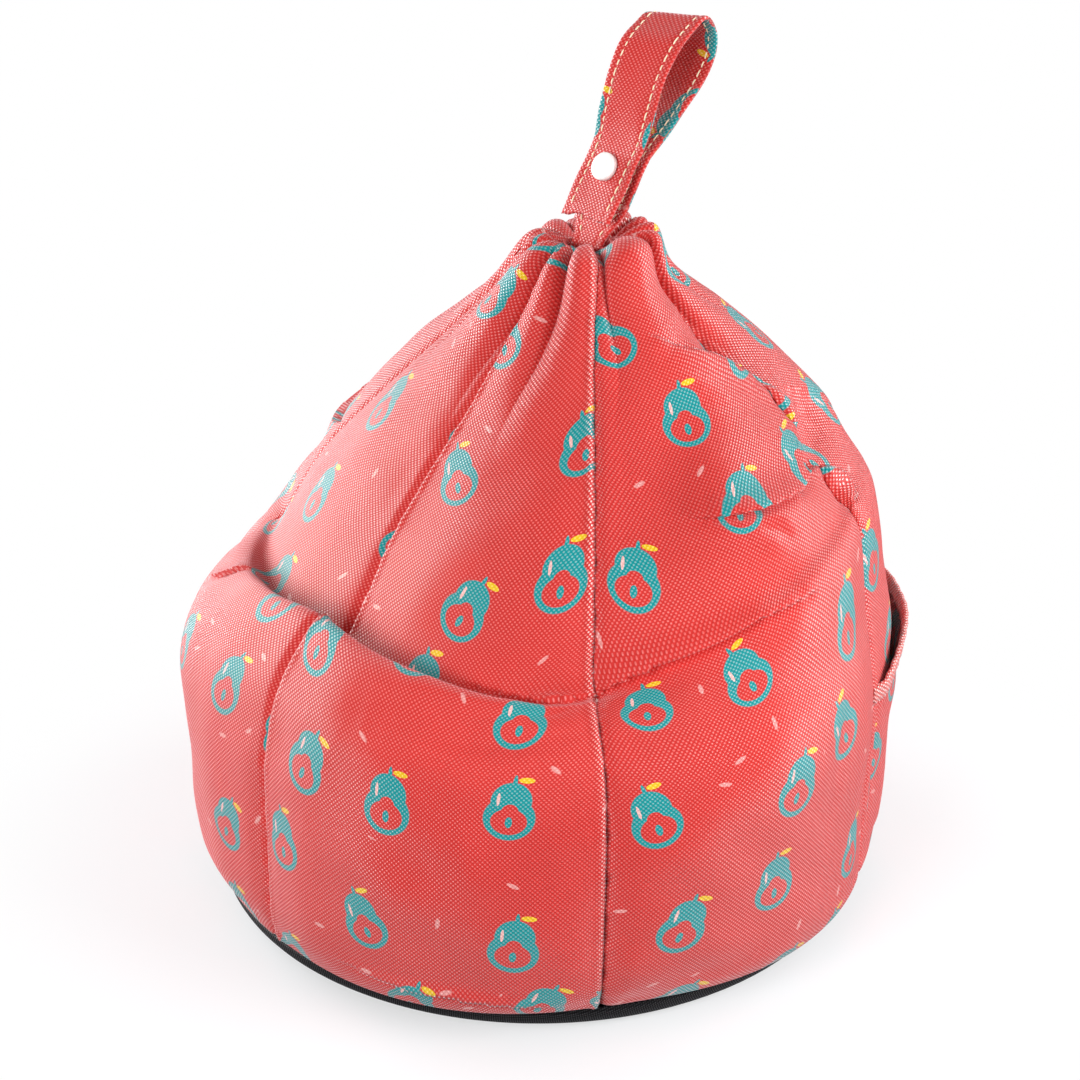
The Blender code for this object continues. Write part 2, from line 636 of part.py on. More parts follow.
def snap_frame(point):
    """A frame on the strap's middle line whose Z axis is the stud's axis."""
    out = snap_direction()
    axis = Vector((0, out[0], out[1]))
    side = Vector((1, 0, 0))
    frame = Matrix((side, axis.cross(side), axis)).transposed().to_4x4()
    share = point[1] / STRAP_HEIGHT
    frame.translation = Vector((STRAP_SIDE_LEAN * share, point[0], point[1]))
    return frame


def make_snap(swing, opening, back_leg, front_leg):
    half_cloth = STRAP_THICKNESS / 2
    gap = CLEARANCE
    post = SNAP_POST_RADIUS
    hole = post + gap
    front_frame = snap_frame(front_snap_point())
    back_frame = snap_frame(back_snap_point())
    back_frame.translation.x = front_frame.translation.x
    to_opening = Matrix.Translation(-opening.location)

    face = half_cloth + gap
    top = face + SNAP_CAP_HEIGHT
    rim_height = face + SNAP_CAP_HEIGHT * SNAP_RIM_SHARE
    dome = [(SNAP_CAP_RADIUS * math.cos(a), rim_height + (top - rim_height) * math.sin(a))
            for a in np.radians((0, 25, 50, 70))]
    cap = [(0, -face), (post, -face), (post, face), (SNAP_CAP_RADIUS, face)] + dome + [(0, top)]
    mesh = mesh_from_profile("snap_cap_front", cap, SNAP_SEGMENTS, to_opening @ front_frame)
    add_object("snap_cap_front", mesh, WHITE, 0.15, parent=opening)

    seat = -face
    rim = seat - SNAP_SOCKET_HEIGHT
    floor = seat - SNAP_SOCKET_FLOOR
    bore = SNAP_KNOB_RADIUS + gap
    ring = SNAP_RING_RADIUS
    socket = [(hole, seat), (hole, floor), (bore + gap, floor), (bore, rim),
              (ring * SNAP_SOCKET_TOP_SHARE, rim), (ring, rim + SNAP_SOCKET_FLOOR), (ring, seat)]
    mesh = mesh_from_profile("snap_socket", socket, SNAP_SEGMENTS, to_opening @ front_frame)
    add_object("snap_socket", mesh, WHITE, 0.25, parent=opening)

    flange = face + SNAP_FLANGE_HEIGHT
    knob_top = snap_spacing() + floor - gap
    knob_base = flange + (knob_top - flange) / 2
    knob = SNAP_KNOB_RADIUS
    stud = [(hole, face), (ring, face), (ring, flange), (knob - gap, flange), (knob, knob_base),
            (knob - gap, knob_top), (hole, knob_top)]
    mesh = mesh_from_profile("snap_stud", stud, SNAP_SEGMENTS, back_frame)
    add_object("snap_stud", mesh, WHITE, 0.25, parent=swing)

    low = -face - SNAP_BACK_HEIGHT
    cap_back = [(0, low), (SNAP_CAP_RADIUS * SNAP_BACK_TOP_SHARE, low),
                (SNAP_CAP_RADIUS, -face - SNAP_BACK_HEIGHT / 2), (SNAP_CAP_RADIUS, -face),
                (post, -face), (post, flange), (0, flange)]
    mesh = mesh_from_profile("snap_cap_back", cap_back, SNAP_SEGMENTS, back_frame)
    add_object("snap_cap_back", mesh, WHITE, 0.2, parent=swing)

    bore_profile = [(0, -face - CUT_OVERRUN), (hole, -face - CUT_OVERRUN), (hole, face + CUT_OVERRUN),
                    (0, face + CUT_OVERRUN)]
    for leg, parent, frame in ((back_leg, swing, back_frame), (front_leg, opening, to_opening @ front_frame)):
        name = "hole_" + leg.name
        cutter = bpy.data.objects.new(name, mesh_from_profile(name, bore_profile, SNAP_SEGMENTS, frame))
        bpy.context.collection.objects.link(cutter)
        cutter.parent = parent
        cut_with(leg, cutter)


def make_handle():
    root = (0, NECK_SHIFT, NECK_HEIGHT)
    swing = add_empty("strap_swing_axis", root, STRAP_YAW)
    crown = crown_point()
    opening = add_empty("strap_open_axis", (0, crown[0], STRAP_HEIGHT), parent=swing)
    back_leg, front_leg = make_strap(swing, opening, crown)
    make_snap(swing, opening, back_leg, front_leg)
    make_binding()


def make_binding():
    """A tape turned round the gathered edge, with the strap sewn in its middle."""
    outer = NECK_RADIUS - CLEARANCE
    inner = outer - BINDING_THICKNESS
    low, high = -BINDING_HEIGHT, 0
    mesh = mesh_from_profile("neck_binding", [(inner, low), (outer, low), (outer, high), (inner, high)],
                             GORE_COUNT * COLUMNS_PER_GORE)
    add_object("neck_binding", mesh, CORAL, 0.7, location=(0, NECK_SHIFT, NECK_HEIGHT))


# Pocket

def pocket_stand_off(column, row_share):
    """How far the pocket's cloth stands off the body at a column, from its foot to its mouth."""
    across = math.sin(math.pi * column / COLUMNS_PER_GORE)
    return (POCKET_EDGE_GAPE + (POCKET_GAPE - POCKET_EDGE_GAPE) * across) * row_share


def pocket_grid(angles, outward):
    """Rows from the foot, which lies on the body, up to the mouth, which gapes."""
    rise = SHOULDER_LEVEL - FOOT_LEVEL
    mouth = [FOOT_LEVEL + rise * share for share in POCKET_MOUTH_SHARES]
    below_mouth = [min(WIDEST_LEVEL, level - POCKET_LOW_ROW_SHARE) for level in mouth]
    foot, wall = [FOOT_LEVEL] * len(angles), [WIDEST_LEVEL - 1] * len(angles)
    levels = (foot, wall, below_mouth, mouth)
    rows = []
    for row_levels, share in zip(levels, POCKET_ROW_GAPE_SHARES):
        row = []
        for column, angle in enumerate(angles):
            stand_off = CLEARANCE + pocket_stand_off(column, share) + outward
            row.append(cover_points(angle, row_levels[column], -stand_off))
        rows.append(row)
    return np.array(rows)


def make_pocket():
    index = [name for name, _ in GORES].index("panel_back_right")
    angles = gore_angles(index)
    inner = spread_edges(pocket_grid(angles, 0), angles, POCKET_SEAM_INSET)
    outer = spread_edges(pocket_grid(angles, CLOTH_THICKNESS), angles, POCKET_SEAM_INSET)
    add_object("pocket_panel", mesh_from_sheet("pocket_panel", outer, inner), CORAL, 0.62)
    middle = (inner[-1] + outer[-1]) / 2
    lift = POCKET_HEM_RADIUS + CLEARANCE
    path = [Vector(point) + Vector((0, 0, lift)) for point in curve_through(middle, 2)]
    rings = []
    for i, point in enumerate(path):
        ahead = (path[min(i + 1, len(path) - 1)] - path[max(i - 1, 0)]).normalized()
        out = Vector((point.x, point.y, 0)).normalized()
        up = ahead.cross(out).normalized()
        out = up.cross(ahead)
        turns = [2 * math.pi * k / POCKET_HEM_SIDES for k in range(POCKET_HEM_SIDES)]
        rings.append([point + POCKET_HEM_RADIUS * (out * math.cos(a) + up * math.sin(a)) for a in turns])
    add_object("pocket_hem", mesh_from_rings("pocket_hem", rings), PALE_LINING, 0.7)


def main():
    clear_scene()
    make_gores()
    make_bead_bag()
    make_bead_fill()
    make_base()
    make_zip()
    make_handle()
    make_pocket()


main()
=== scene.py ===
import math

import bmesh
import bpy
import numpy as np
from mathutils import Matrix, Vector


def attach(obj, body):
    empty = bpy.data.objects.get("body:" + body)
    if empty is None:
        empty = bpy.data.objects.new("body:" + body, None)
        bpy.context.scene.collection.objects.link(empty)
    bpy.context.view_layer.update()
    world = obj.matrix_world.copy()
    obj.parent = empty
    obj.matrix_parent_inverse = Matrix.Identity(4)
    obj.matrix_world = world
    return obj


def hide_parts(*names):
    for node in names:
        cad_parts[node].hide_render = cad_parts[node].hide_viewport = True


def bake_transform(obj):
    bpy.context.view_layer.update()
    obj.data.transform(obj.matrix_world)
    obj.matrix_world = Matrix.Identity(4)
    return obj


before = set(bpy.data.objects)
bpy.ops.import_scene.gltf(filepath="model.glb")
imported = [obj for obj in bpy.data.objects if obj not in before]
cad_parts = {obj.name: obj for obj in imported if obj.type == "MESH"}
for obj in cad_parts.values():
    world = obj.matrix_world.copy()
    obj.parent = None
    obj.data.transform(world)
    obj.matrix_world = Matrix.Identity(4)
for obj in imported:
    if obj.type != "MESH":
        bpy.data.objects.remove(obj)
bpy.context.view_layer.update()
print("frame loaded")


# Colours, nodes and materials

# linear RGBA from an sRGB hex code
def linearColour(code):
    channels = [int(code[i:i + 2], 16) / 255 for i in (1, 3, 5)]
    return [c / 12.92 if c <= 0.04045 else ((c + 0.055) / 1.055) ** 2.4 for c in channels] + [1.0]


# plain values and links into a node's inputs
def setInputs(tree, node, inputs):
    for socket, source in inputs.items():
        if isinstance(source, bpy.types.NodeSocket):
            tree.links.new(source, node.inputs[socket])
        else:
            node.inputs[socket].default_value = source


def addNode(tree, kind, settings=None, inputs=None):
    node = tree.nodes.new(kind)
    for name, value in (settings or {}).items():
        setattr(node, name, value)
    setInputs(tree, node, inputs or {})
    return node


# a material with its tree, its shader and the piece's own coordinates in metres
def newMaterial(name):
    material = bpy.data.materials.new(name)
    material.use_nodes = True
    tree = material.node_tree
    place = addNode(tree, "ShaderNodeTexCoord").outputs["Object"]
    return material, tree, tree.nodes["Principled BSDF"], place


# Camera, lamps and floor

stage = {
    "azimuth": 50.0, "elevation": 24.0, "distance": 0.900, "lookHeight": 0.150,
    "focal": 2295.0, "frameWidth": 1080.0, "shift": (2.0, -24.0), "sensor": 36.0,
    "lamps": (
        # name, azimuth, elevation, distance, size, watts
        ("frontSoftbox", 14.0, 18.0, 1.50, 0.90, 17.5),
        ("rightSoftbox", 116.0, 18.0, 1.20, 0.90, 15.0),
        ("rightRimSoftbox", 160.0, 24.0, 1.40, 0.90, 8.0),
        ("leftRimSoftbox", -76.0, 8.0, 1.30, 0.90, 21.0),
    ),
    "lampAim": 0.12, "worldStrength": 0.33,
    "floorSize": 4.0, "floorHeight": -0.0004, "floorRoughness": 0.6,
    "floorTone": "#F2F4F7", "floorBounce": "#86868A",
    "floorNear": 0.16, "floorFar": 0.27, "floorLift": 0.52,
}


def viewDirection(azimuth, elevation):
    a, e = math.radians(azimuth), math.radians(elevation)
    return Vector((math.sin(a) * math.cos(e), -math.cos(a) * math.cos(e), math.sin(e)))


def placeAround(item, height, distance, azimuth, elevation):
    target = Vector((0, 0, height))
    item.location = target + distance * viewDirection(azimuth, elevation)
    item.rotation_euler = (target - item.location).to_track_quat("-Z", "Y").to_euler()
    bpy.context.collection.objects.link(item)


def makeCamera():
    data = bpy.data.cameras.new("camera")
    data.sensor_width = stage["sensor"]
    data.lens = stage["focal"] / stage["frameWidth"] * stage["sensor"]
    data.shift_x = stage["shift"][0] / stage["frameWidth"]
    data.shift_y = stage["shift"][1] / stage["frameWidth"]
    camera = bpy.data.objects.new("camera", data)
    placeAround(camera, stage["lookHeight"], stage["distance"], stage["azimuth"],
                stage["elevation"])
    bpy.context.scene.camera = camera


def makeLamps():
    for name, azimuth, elevation, distance, size, watts in stage["lamps"]:
        data = bpy.data.lights.new(name, "AREA")
        data.shape = "DISK"
        data.size = size
        data.energy = watts
        placeAround(bpy.data.objects.new(name, data), stage["lampAim"], distance, azimuth,
                    elevation)


def makeWorld():
    world = bpy.data.worlds.new("studio")
    world.use_nodes = True
    bpy.context.scene.world = world
    tree = world.node_tree
    rays = addNode(tree, "ShaderNodeLightPath")
    seen = addNode(tree, "ShaderNodeMath", {"operation": "MAXIMUM"},
                   {0: rays.outputs["Is Camera Ray"], 1: rays.outputs["Is Transmission Ray"]})
    strength = addNode(tree, "ShaderNodeMapRange", None,
                       {"Value": seen.outputs[0], "To Min": stage["worldStrength"], "To Max": 1.0})
    setInputs(tree, tree.nodes["Background"],
              {"Color": (1, 1, 1, 1), "Strength": strength.outputs[0]})


# a pale painted sweep, which keeps the shadow near the cushion and is plain white further out
def makeFloor():
    mesh = bmesh.new()
    bmesh.ops.create_grid(mesh, x_segments=8, y_segments=8, size=stage["floorSize"])
    data = bpy.data.meshes.new("floor")
    mesh.to_mesh(data)
    mesh.free()
    floor = bpy.data.objects.new("floor", data)
    bpy.context.collection.objects.link(floor)
    floor.location.z = stage["floorHeight"]
    material, tree, shader, place = newMaterial("paintedSweep")
    reach = addNode(tree, "ShaderNodeVectorMath", {"operation": "LENGTH"}, {0: place})
    far = addNode(tree, "ShaderNodeMapRange", {"interpolation_type": "SMOOTHSTEP"},
                  {"Value": reach.outputs["Value"], "From Min": stage["floorNear"],
                   "From Max": stage["floorFar"], "To Min": stage["floorLift"], "To Max": 1.0})
    seen = addNode(tree, "ShaderNodeLightPath").outputs["Is Camera Ray"]
    tone = addNode(tree, "ShaderNodeMix", {"data_type": "RGBA"},
                   {"Factor": seen, "A": linearColour(stage["floorBounce"]),
                    "B": linearColour(stage["floorTone"])})
    setInputs(tree, shader, {"Base Color": tone.outputs["Result"],
                             "Roughness": stage["floorRoughness"]})
    share = addNode(tree, "ShaderNodeMath", {"operation": "MULTIPLY"}, {0: far.outputs[0], 1: seen})
    white = addNode(tree, "ShaderNodeEmission", None, {"Color": (1, 1, 1, 1), "Strength": 1.0})
    mix = addNode(tree, "ShaderNodeMixShader", None,
                  {0: share.outputs[0], 1: shader.outputs[0], 2: white.outputs[0]})
    setInputs(tree, tree.nodes["Material Output"], {"Surface": mix.outputs[0]})
    data.materials.append(material)


makeCamera()
makeLamps()
makeWorld()
makeFloor()
bpy.context.scene.view_settings.view_transform = "Standard"
print("camera, lamps and floor made")


# Printed cloth: woven polyester in a basket weave, screen printed. The weave gives the eye fine
# pale dots in diagonal rows, painted into the colour partly as a painted highlight on the raised
# blocks with painted shade in the hollows, and a soft pinkish sheen where the cloth turns away.

printedCloth = {
    # the block tint is partly a painted highlight on the thread tops, and the hole tint is painted
    # shade in the hollows of the weave
    "ground": "#DE3934", "groundDeep": "#D23430", "blockTintAndHighlight": "#FFB4AE", "hole": "#B86464",
    "teal": "#06A2A5", "palePink": "#F9C9C4", "yellow": "#F2D21E", "sheenTint": "#FFDDE2",
    "weaveWidth": 0.00088,   # side of one woven block
    "blockTintAndHighlightShare": 0.14, "holeShadeShare": 0.30, "bump": 0.00028,
    "cloudScale": 14.0, "fibreScale": 2600.0, "fibreShare": 0.35,
    "motifSpacing": 0.046, "motifJitter": 0.50, "motifTurn": 1.0,
    "flickSpacing": 0.023, "flickWidth": 0.0008, "flickLength": 0.0024, "flickLean": 2.2,
    "flickStrength": 0.6, "flickLuck": 0.55,
    "flickClearance": 15.5,   # millimetres from the middle of a motif
    "ior": 2.0, "roughness": 0.46, "hollowRougher": 0.20, "blockSmoother": 0.10,
    "specular": 1.0, "sheen": 1.0, "sheenRoughness": 0.40,
    # shares of gloss and sheen face on, where each grows as the cloth turns away, and how the
    # hollows and blocks of the weave differ
    "glossFaceOn": 0.25, "glossTurn": (0.13, 0.31), "sheenFaceOn": 0.1, "sheenTurn": (0.08, 0.65),
    "hollowAndBlock": (0.25, 1.25),
}
reverseCloth = dict(printedCloth, ground="#E9766E", groundDeep="#DD625B", blockTintAndHighlight="#FFF1EE",
                    blockTintAndHighlightShare=0.75)
baseCloth = dict(printedCloth, ground="#111013", groundDeep="#0B0A0C", blockTintAndHighlight="#45454B",
                 hole="#8A8A8A", sheenTint="#C8C8D0", weaveWidth=0.0006, blockTintAndHighlightShare=0.10,
                 specular=0.3, sheen=0.10, bump=0.00018)
tapeCloth = dict(baseCloth, weaveWidth=0.0004, bump=0.00012)

# The print is of cut pears. Each shape is an ellipse in millimetres: centre, radii and colour.
# Later shapes lie over earlier ones.
pearShapes = (
    ("leaf", (4.2, 12.4), (2.8, 1.1), "yellow"),
    ("stem", (0.2, 11.4), (0.8, 2.8), "teal"),
    ("neck", (0.0, 3.8), (7.3, 7.4), "teal"),
    ("body", (0.0, -3.2), (9.3, 8.9), "teal"),
    ("flesh", (0.0, -4.6), (6.5, 5.3), "ground"),
    ("fleshTop", (0.0, -0.4), (3.0, 3.0), "ground"),
    ("pip", (0.0, -4.9), (1.3, 2.3), "teal"),
    ("shine", (-4.6, 4.2), (0.6, 2.6), "palePink"),
)


# the pears, one to each cell of a jittered lattice, and the distance from the nearest in mm
def paintPears(tree, settings, coords, ground):
    cells = addNode(tree, "ShaderNodeTexVoronoi", {"voronoi_dimensions": "2D"},
                    {"Vector": coords, "Scale": 1 / settings["motifSpacing"],
                     "Randomness": settings["motifJitter"]})
    local = addNode(tree, "ShaderNodeVectorMath", {"operation": "SUBTRACT"},
                    {0: coords, 1: cells.outputs["Position"]})
    chance = addNode(tree, "ShaderNodeSeparateColor", None, {0: cells.outputs["Color"]})
    turn = addNode(tree, "ShaderNodeMapRange", None,
                   {"Value": chance.outputs["Red"], "To Min": -settings["motifTurn"] / 2,
                    "To Max": settings["motifTurn"] / 2})
    spun = addNode(tree, "ShaderNodeVectorRotate", {"rotation_type": "Z_AXIS"},
                   {"Vector": local.outputs[0], "Angle": turn.outputs[0]})
    inMillimetres = addNode(tree, "ShaderNodeVectorMath", {"operation": "SCALE"},
                            {0: spun.outputs[0], "Scale": 1000.0}).outputs[0]
    paint = ground
    for shape, centre, radii, colour in pearShapes:
        unit = addNode(tree, "ShaderNodeVectorMath", {"operation": "MULTIPLY_ADD"},
                       {0: inMillimetres, 1: (1 / radii[0], 1 / radii[1], 0),
                        2: (-centre[0] / radii[0], -centre[1] / radii[1], 0)})
        reach = addNode(tree, "ShaderNodeVectorMath", {"operation": "LENGTH"}, {0: unit.outputs[0]})
        inside = addNode(tree, "ShaderNodeMapRange", {"label": shape},
                         {"Value": reach.outputs["Value"], "From Min": 0.98, "From Max": 1.03,
                          "To Min": 1.0, "To Max": 0.0})
        over = ground if colour == "ground" else linearColour(settings[colour])
        paint = addNode(tree, "ShaderNodeMix", {"data_type": "RGBA"},
                        {"Factor": inside.outputs[0], "A": paint, "B": over}).outputs["Result"]
    away = addNode(tree, "ShaderNodeVectorMath", {"operation": "LENGTH"}, {0: inMillimetres})
    return paint, away.outputs["Value"]


# small pale flicks, some of them left out by chance and all of them kept off the pears
def paintFlicks(tree, settings, coords, paint, fromPear):
    cells = addNode(tree, "ShaderNodeTexVoronoi", {"voronoi_dimensions": "2D"},
                    {"Vector": coords, "Scale": 1 / settings["flickSpacing"], "Randomness": 0.8})
    local = addNode(tree, "ShaderNodeVectorMath", {"operation": "SUBTRACT"},
                    {0: coords, 1: cells.outputs["Position"]})
    luck = addNode(tree, "ShaderNodeSeparateColor", None, {0: cells.outputs["Color"]})
    lean = addNode(tree, "ShaderNodeMapRange", None,
                   {"Value": luck.outputs["Green"], "To Min": -settings["flickLean"],
                    "To Max": settings["flickLean"]})
    spun = addNode(tree, "ShaderNodeVectorRotate", {"rotation_type": "Z_AXIS"},
                   {"Vector": local.outputs[0], "Angle": lean.outputs[0]})
    thin = addNode(tree, "ShaderNodeVectorMath", {"operation": "MULTIPLY"},
                   {0: spun.outputs[0], 1: (1 / settings["flickWidth"],
                                            1 / settings["flickLength"], 0)})
    reach = addNode(tree, "ShaderNodeVectorMath", {"operation": "LENGTH"}, {0: thin.outputs[0]})
    inside = addNode(tree, "ShaderNodeMapRange", None,
                     {"Value": reach.outputs["Value"], "From Min": 0.85, "From Max": 1.15,
                      "To Min": settings["flickStrength"], "To Max": 0.0})
    chosen = addNode(tree, "ShaderNodeMath", {"operation": "GREATER_THAN"},
                     {0: luck.outputs["Blue"], 1: settings["flickLuck"]})
    beside = addNode(tree, "ShaderNodeMath", {"operation": "GREATER_THAN"},
                     {0: fromPear, 1: settings["flickClearance"]})
    kept = addNode(tree, "ShaderNodeMath", {"operation": "MULTIPLY"},
                   {0: chosen.outputs[0], 1: beside.outputs[0]})
    share = addNode(tree, "ShaderNodeMath", {"operation": "MULTIPLY"},
                    {0: inside.outputs[0], 1: kept.outputs[0]})
    return addNode(tree, "ShaderNodeMix", {"data_type": "RGBA"},
                   {"Factor": share.outputs[0], "A": paint,
                    "B": linearColour(settings["palePink"])}).outputs["Result"]


# gloss and sheen grow where the cloth turns away, and more so on the blocks of the weave
def setShine(tree, shader, settings, dots):
    gloss = addNode(tree, "ShaderNodeMapRange", None,
                    {"Value": dots, "To Min": settings["roughness"] + settings["hollowRougher"],
                     "To Max": settings["roughness"] - settings["blockSmoother"]})
    setInputs(tree, shader, {"Roughness": gloss.outputs[0], "IOR": settings["ior"],
                             "Sheen Roughness": settings["sheenRoughness"],
                             "Sheen Tint": linearColour(settings["sheenTint"])})
    glance = addNode(tree, "ShaderNodeLayerWeight", None, {"Blend": 0.5}).outputs["Facing"]
    hollow, block = settings["hollowAndBlock"]
    blocks = addNode(tree, "ShaderNodeMapRange", None,
                     {"Value": dots, "To Min": hollow, "To Max": block})
    # each socket also has a plain value, for where its link isn't read
    for socket, name, plain in (("Specular IOR Level", "specular", 0.4),
                                ("Sheen Weight", "sheen", 0.3)):
        low, high = settings["glossTurn" if name == "specular" else "sheenTurn"]
        faceOn = settings["glossFaceOn" if name == "specular" else "sheenFaceOn"]
        turned = addNode(tree, "ShaderNodeMapRange", {"interpolation_type": "SMOOTHSTEP"},
                         {"Value": glance, "From Min": low, "From Max": high,
                          "To Min": settings[name] * faceOn, "To Max": settings[name]})
        weight = addNode(tree, "ShaderNodeMath", {"operation": "MULTIPLY"},
                         {0: turned.outputs[0], 1: blocks.outputs[0]})
        shader.inputs[socket].default_value = plain
        setInputs(tree, shader, {socket: weight.outputs[0]})


def makeClothMaterial(name, settings, withPrint=True):
    material, tree, shader, place = newMaterial(name)
    coords = addNode(tree, "ShaderNodeUVMap", {"uv_map": "uv"}).outputs["UV"]

    # the product of two sines is a checker of soft pillows
    turned = addNode(tree, "ShaderNodeVectorMath", {"operation": "SCALE"},
                     {0: coords, "Scale": math.pi / settings["weaveWidth"]})
    axes = addNode(tree, "ShaderNodeSeparateXYZ", None, {0: turned.outputs[0]})
    waveU, waveV = (addNode(tree, "ShaderNodeMath", {"operation": "SINE"}, {0: axes.outputs[axis]})
                    for axis in "XY")
    weave = addNode(tree, "ShaderNodeMath", {"operation": "MULTIPLY"},
                    {0: waveU.outputs[0], 1: waveV.outputs[0]}).outputs[0]
    dots = addNode(tree, "ShaderNodeMapRange", {"interpolation_type": "SMOOTHSTEP"},
                   {"Value": weave, "From Min": 0.0, "From Max": 0.7}).outputs[0]

    # the ground is a little uneven from the dye and the wear
    cloud = addNode(tree, "ShaderNodeTexNoise", {"noise_dimensions": "3D"},
                    {"Vector": place, "Scale": settings["cloudScale"], "Detail": 3.0,
                     "Roughness": 0.6})
    cloudShare = addNode(tree, "ShaderNodeMapRange", None,
                         {"Value": cloud.outputs["Fac"], "From Min": 0.3, "From Max": 0.7})
    paint = addNode(tree, "ShaderNodeMix", {"data_type": "RGBA"},
                    {"Factor": cloudShare.outputs[0], "A": linearColour(settings["ground"]),
                     "B": linearColour(settings["groundDeep"])}).outputs["Result"]
    if withPrint:
        paint, fromPear = paintPears(tree, settings, coords, paint)
        paint = paintFlicks(tree, settings, coords, paint, fromPear)

    # raised blocks of the weave are painted paler, partly the yarn's own tone and partly a painted
    # highlight on the thread tops; the hollows are painted darker as painted shade
    paleBlocksAndHighlight = addNode(tree, "ShaderNodeMix", {"data_type": "RGBA"},
                      {"Factor": settings["blockTintAndHighlightShare"], "A": paint,
                       "B": linearColour(settings["blockTintAndHighlight"])}).outputs["Result"]
    paintedHollowShade = addNode(tree, "ShaderNodeMix", {"data_type": "RGBA", "blend_type": "MULTIPLY"},
                     {"Factor": settings["holeShadeShare"], "A": paint,
                      "B": linearColour(settings["hole"])}).outputs["Result"]
    woven = addNode(tree, "ShaderNodeMix", {"data_type": "RGBA"},
                    {"Factor": dots, "A": paintedHollowShade, "B": paleBlocksAndHighlight}).outputs["Result"]

    # the turned edge of a seam is painted pale on the raised blocks: partly the cloth's paler edge,
    # partly a painted highlight where the ridge catches the light
    seamPaleAndHighlightMask = addNode(tree, "ShaderNodeAttribute", {"attribute_name": "seamEdgePaleAndHighlight"}).outputs["Fac"]
    seamPaleAndHighlightDots = addNode(tree, "ShaderNodeMath", {"operation": "MULTIPLY"}, {0: seamPaleAndHighlightMask, 1: dots})
    edged = addNode(tree, "ShaderNodeMix", {"data_type": "RGBA"},
                    {"Factor": seamPaleAndHighlightDots.outputs[0], "A": woven,
                     "B": linearColour(settings["palePink"])}).outputs["Result"]
    setShine(tree, shader, settings, dots)

    fibre = addNode(tree, "ShaderNodeTexNoise", {"noise_dimensions": "2D"},
                    {"Vector": coords, "Scale": settings["fibreScale"], "Detail": 2.0,
                     "Roughness": 0.7})
    relief = addNode(tree, "ShaderNodeMath", {"operation": "MULTIPLY_ADD"},
                     {0: fibre.outputs["Fac"], 1: settings["fibreShare"], 2: weave})
    bump = addNode(tree, "ShaderNodeBump", None,
                   {"Strength": 0.6, "Distance": settings["bump"], "Height": relief.outputs[0]})
    setInputs(tree, shader, {"Base Color": edged, "Normal": bump.outputs["Normal"]})
    return material


clothMaterial = makeClothMaterial("printedPolyester", printedCloth)
reverseMaterial = makeClothMaterial("printedPolyesterReverse", reverseCloth, withPrint=False)
baseMaterial = makeClothMaterial("wovenBaseCloth", baseCloth, withPrint=False)
tapeMaterial = makeClothMaterial("wovenZipTape", tapeCloth, withPrint=False)
print("cloth materials made")


# Making pieces

def finishPiece(name, mesh, material, bodyName="cushion"):
    data = bpy.data.meshes.new(name)
    mesh.to_mesh(data)
    mesh.free()
    piece = bpy.data.objects.new(name, data)
    bpy.context.collection.objects.link(piece)
    data.materials.append(material)
    if bodyName:
        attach(piece, bodyName)
    return piece


# faces turned outward and shaded smooth
def roundOff(mesh):
    bmesh.ops.recalc_face_normals(mesh, faces=mesh.faces)
    for meshFace in mesh.faces:
        meshFace.smooth = True


def addWall(piece, thickness, offset=-1.0):
    wall = piece.modifiers.new("thickness", "SOLIDIFY")
    wall.thickness = thickness
    wall.offset = offset


# cloth from a grid of points in rows and columns, with a UV map in metres
def makeGridPiece(name, points, uv, material, closed=False, bodyName="cushion"):
    rows, columns = points.shape[0] - 1, points.shape[1] - 1
    mesh = bmesh.new()
    uvLayer = mesh.loops.layers.uv.new("uv")
    orderLayer = mesh.verts.layers.int.new("order")
    bmesh.ops.create_grid(mesh, x_segments=columns, y_segments=rows, size=0.5)
    flatPoints, flatUv = points.reshape(-1, 3), uv.reshape(-1, 2)
    for vertex in mesh.verts:
        column = round((vertex.co.x + 0.5) * columns)
        row = round((vertex.co.y + 0.5) * rows)
        vertex[orderLayer] = row * (columns + 1) + column
    for vertex in mesh.verts:
        vertex.co = flatPoints[vertex[orderLayer]]
    for meshFace in mesh.faces:
        meshFace.smooth = True
        for loop in meshFace.loops:
            loop[uvLayer].uv = flatUv[loop.vert[orderLayer]]
    if closed:
        bmesh.ops.remove_doubles(mesh, verts=mesh.verts, dist=0.00001)
    return finishPiece(name, mesh, material, bodyName)


# running totals of steps along an axis, from zero
def addUp(steps, axis=0):
    return np.insert(np.cumsum(steps, axis=axis), 0, 0, axis=axis)


# distances along a line of points
def runAlong(points):
    return addUp(np.linalg.norm(np.diff(points, axis=0), axis=1))


# rounds off the values of a line, with its ends kept
def evenOut(values, passes):
    for _ in range(passes):
        values[1:-1] = (values[:-2] + 2 * values[1:-1] + values[2:]) / 4


# a smooth curve that goes from the second of four points to the third
def curveBetween(before, first, second, after, part):
    return 0.5 * (2 * first + (second - before) * part
                  + (2 * before - 5 * first + 4 * second - after) * part ** 2
                  + (3 * first - before - 3 * second + after) * part ** 3)


def smoothStep(value, low, high):
    share = np.clip((value - low) / (high - low), 0, 1)
    return share * share * (3 - 2 * share)


# Cover surface. It repeats the levels of the CAD source, and adds gathers, folds and seams to them.

cover = {
    "radius": 0.1375, "height": 0.2600, "gores": 6, "bulge": 0.0075, "swellPower": 0.8,
    "droop": 0.0040, "droopLevel": "baseRoll",
    "neckRadius": 0.0100, "neckHeight": 0.2570, "neckShift": 0.0250,
    "baseRadius": 0.1306, "baseHeight": 0.0105,
    "thickness": 0.0008, "columns": 108, "rows": 290, "fineLevels": 1500,
    # how far the print shifts across and along from one gore to the next, and at the first
    "printStep": (0.137, 0.091), "printStart": (0.020, 0.008),
}

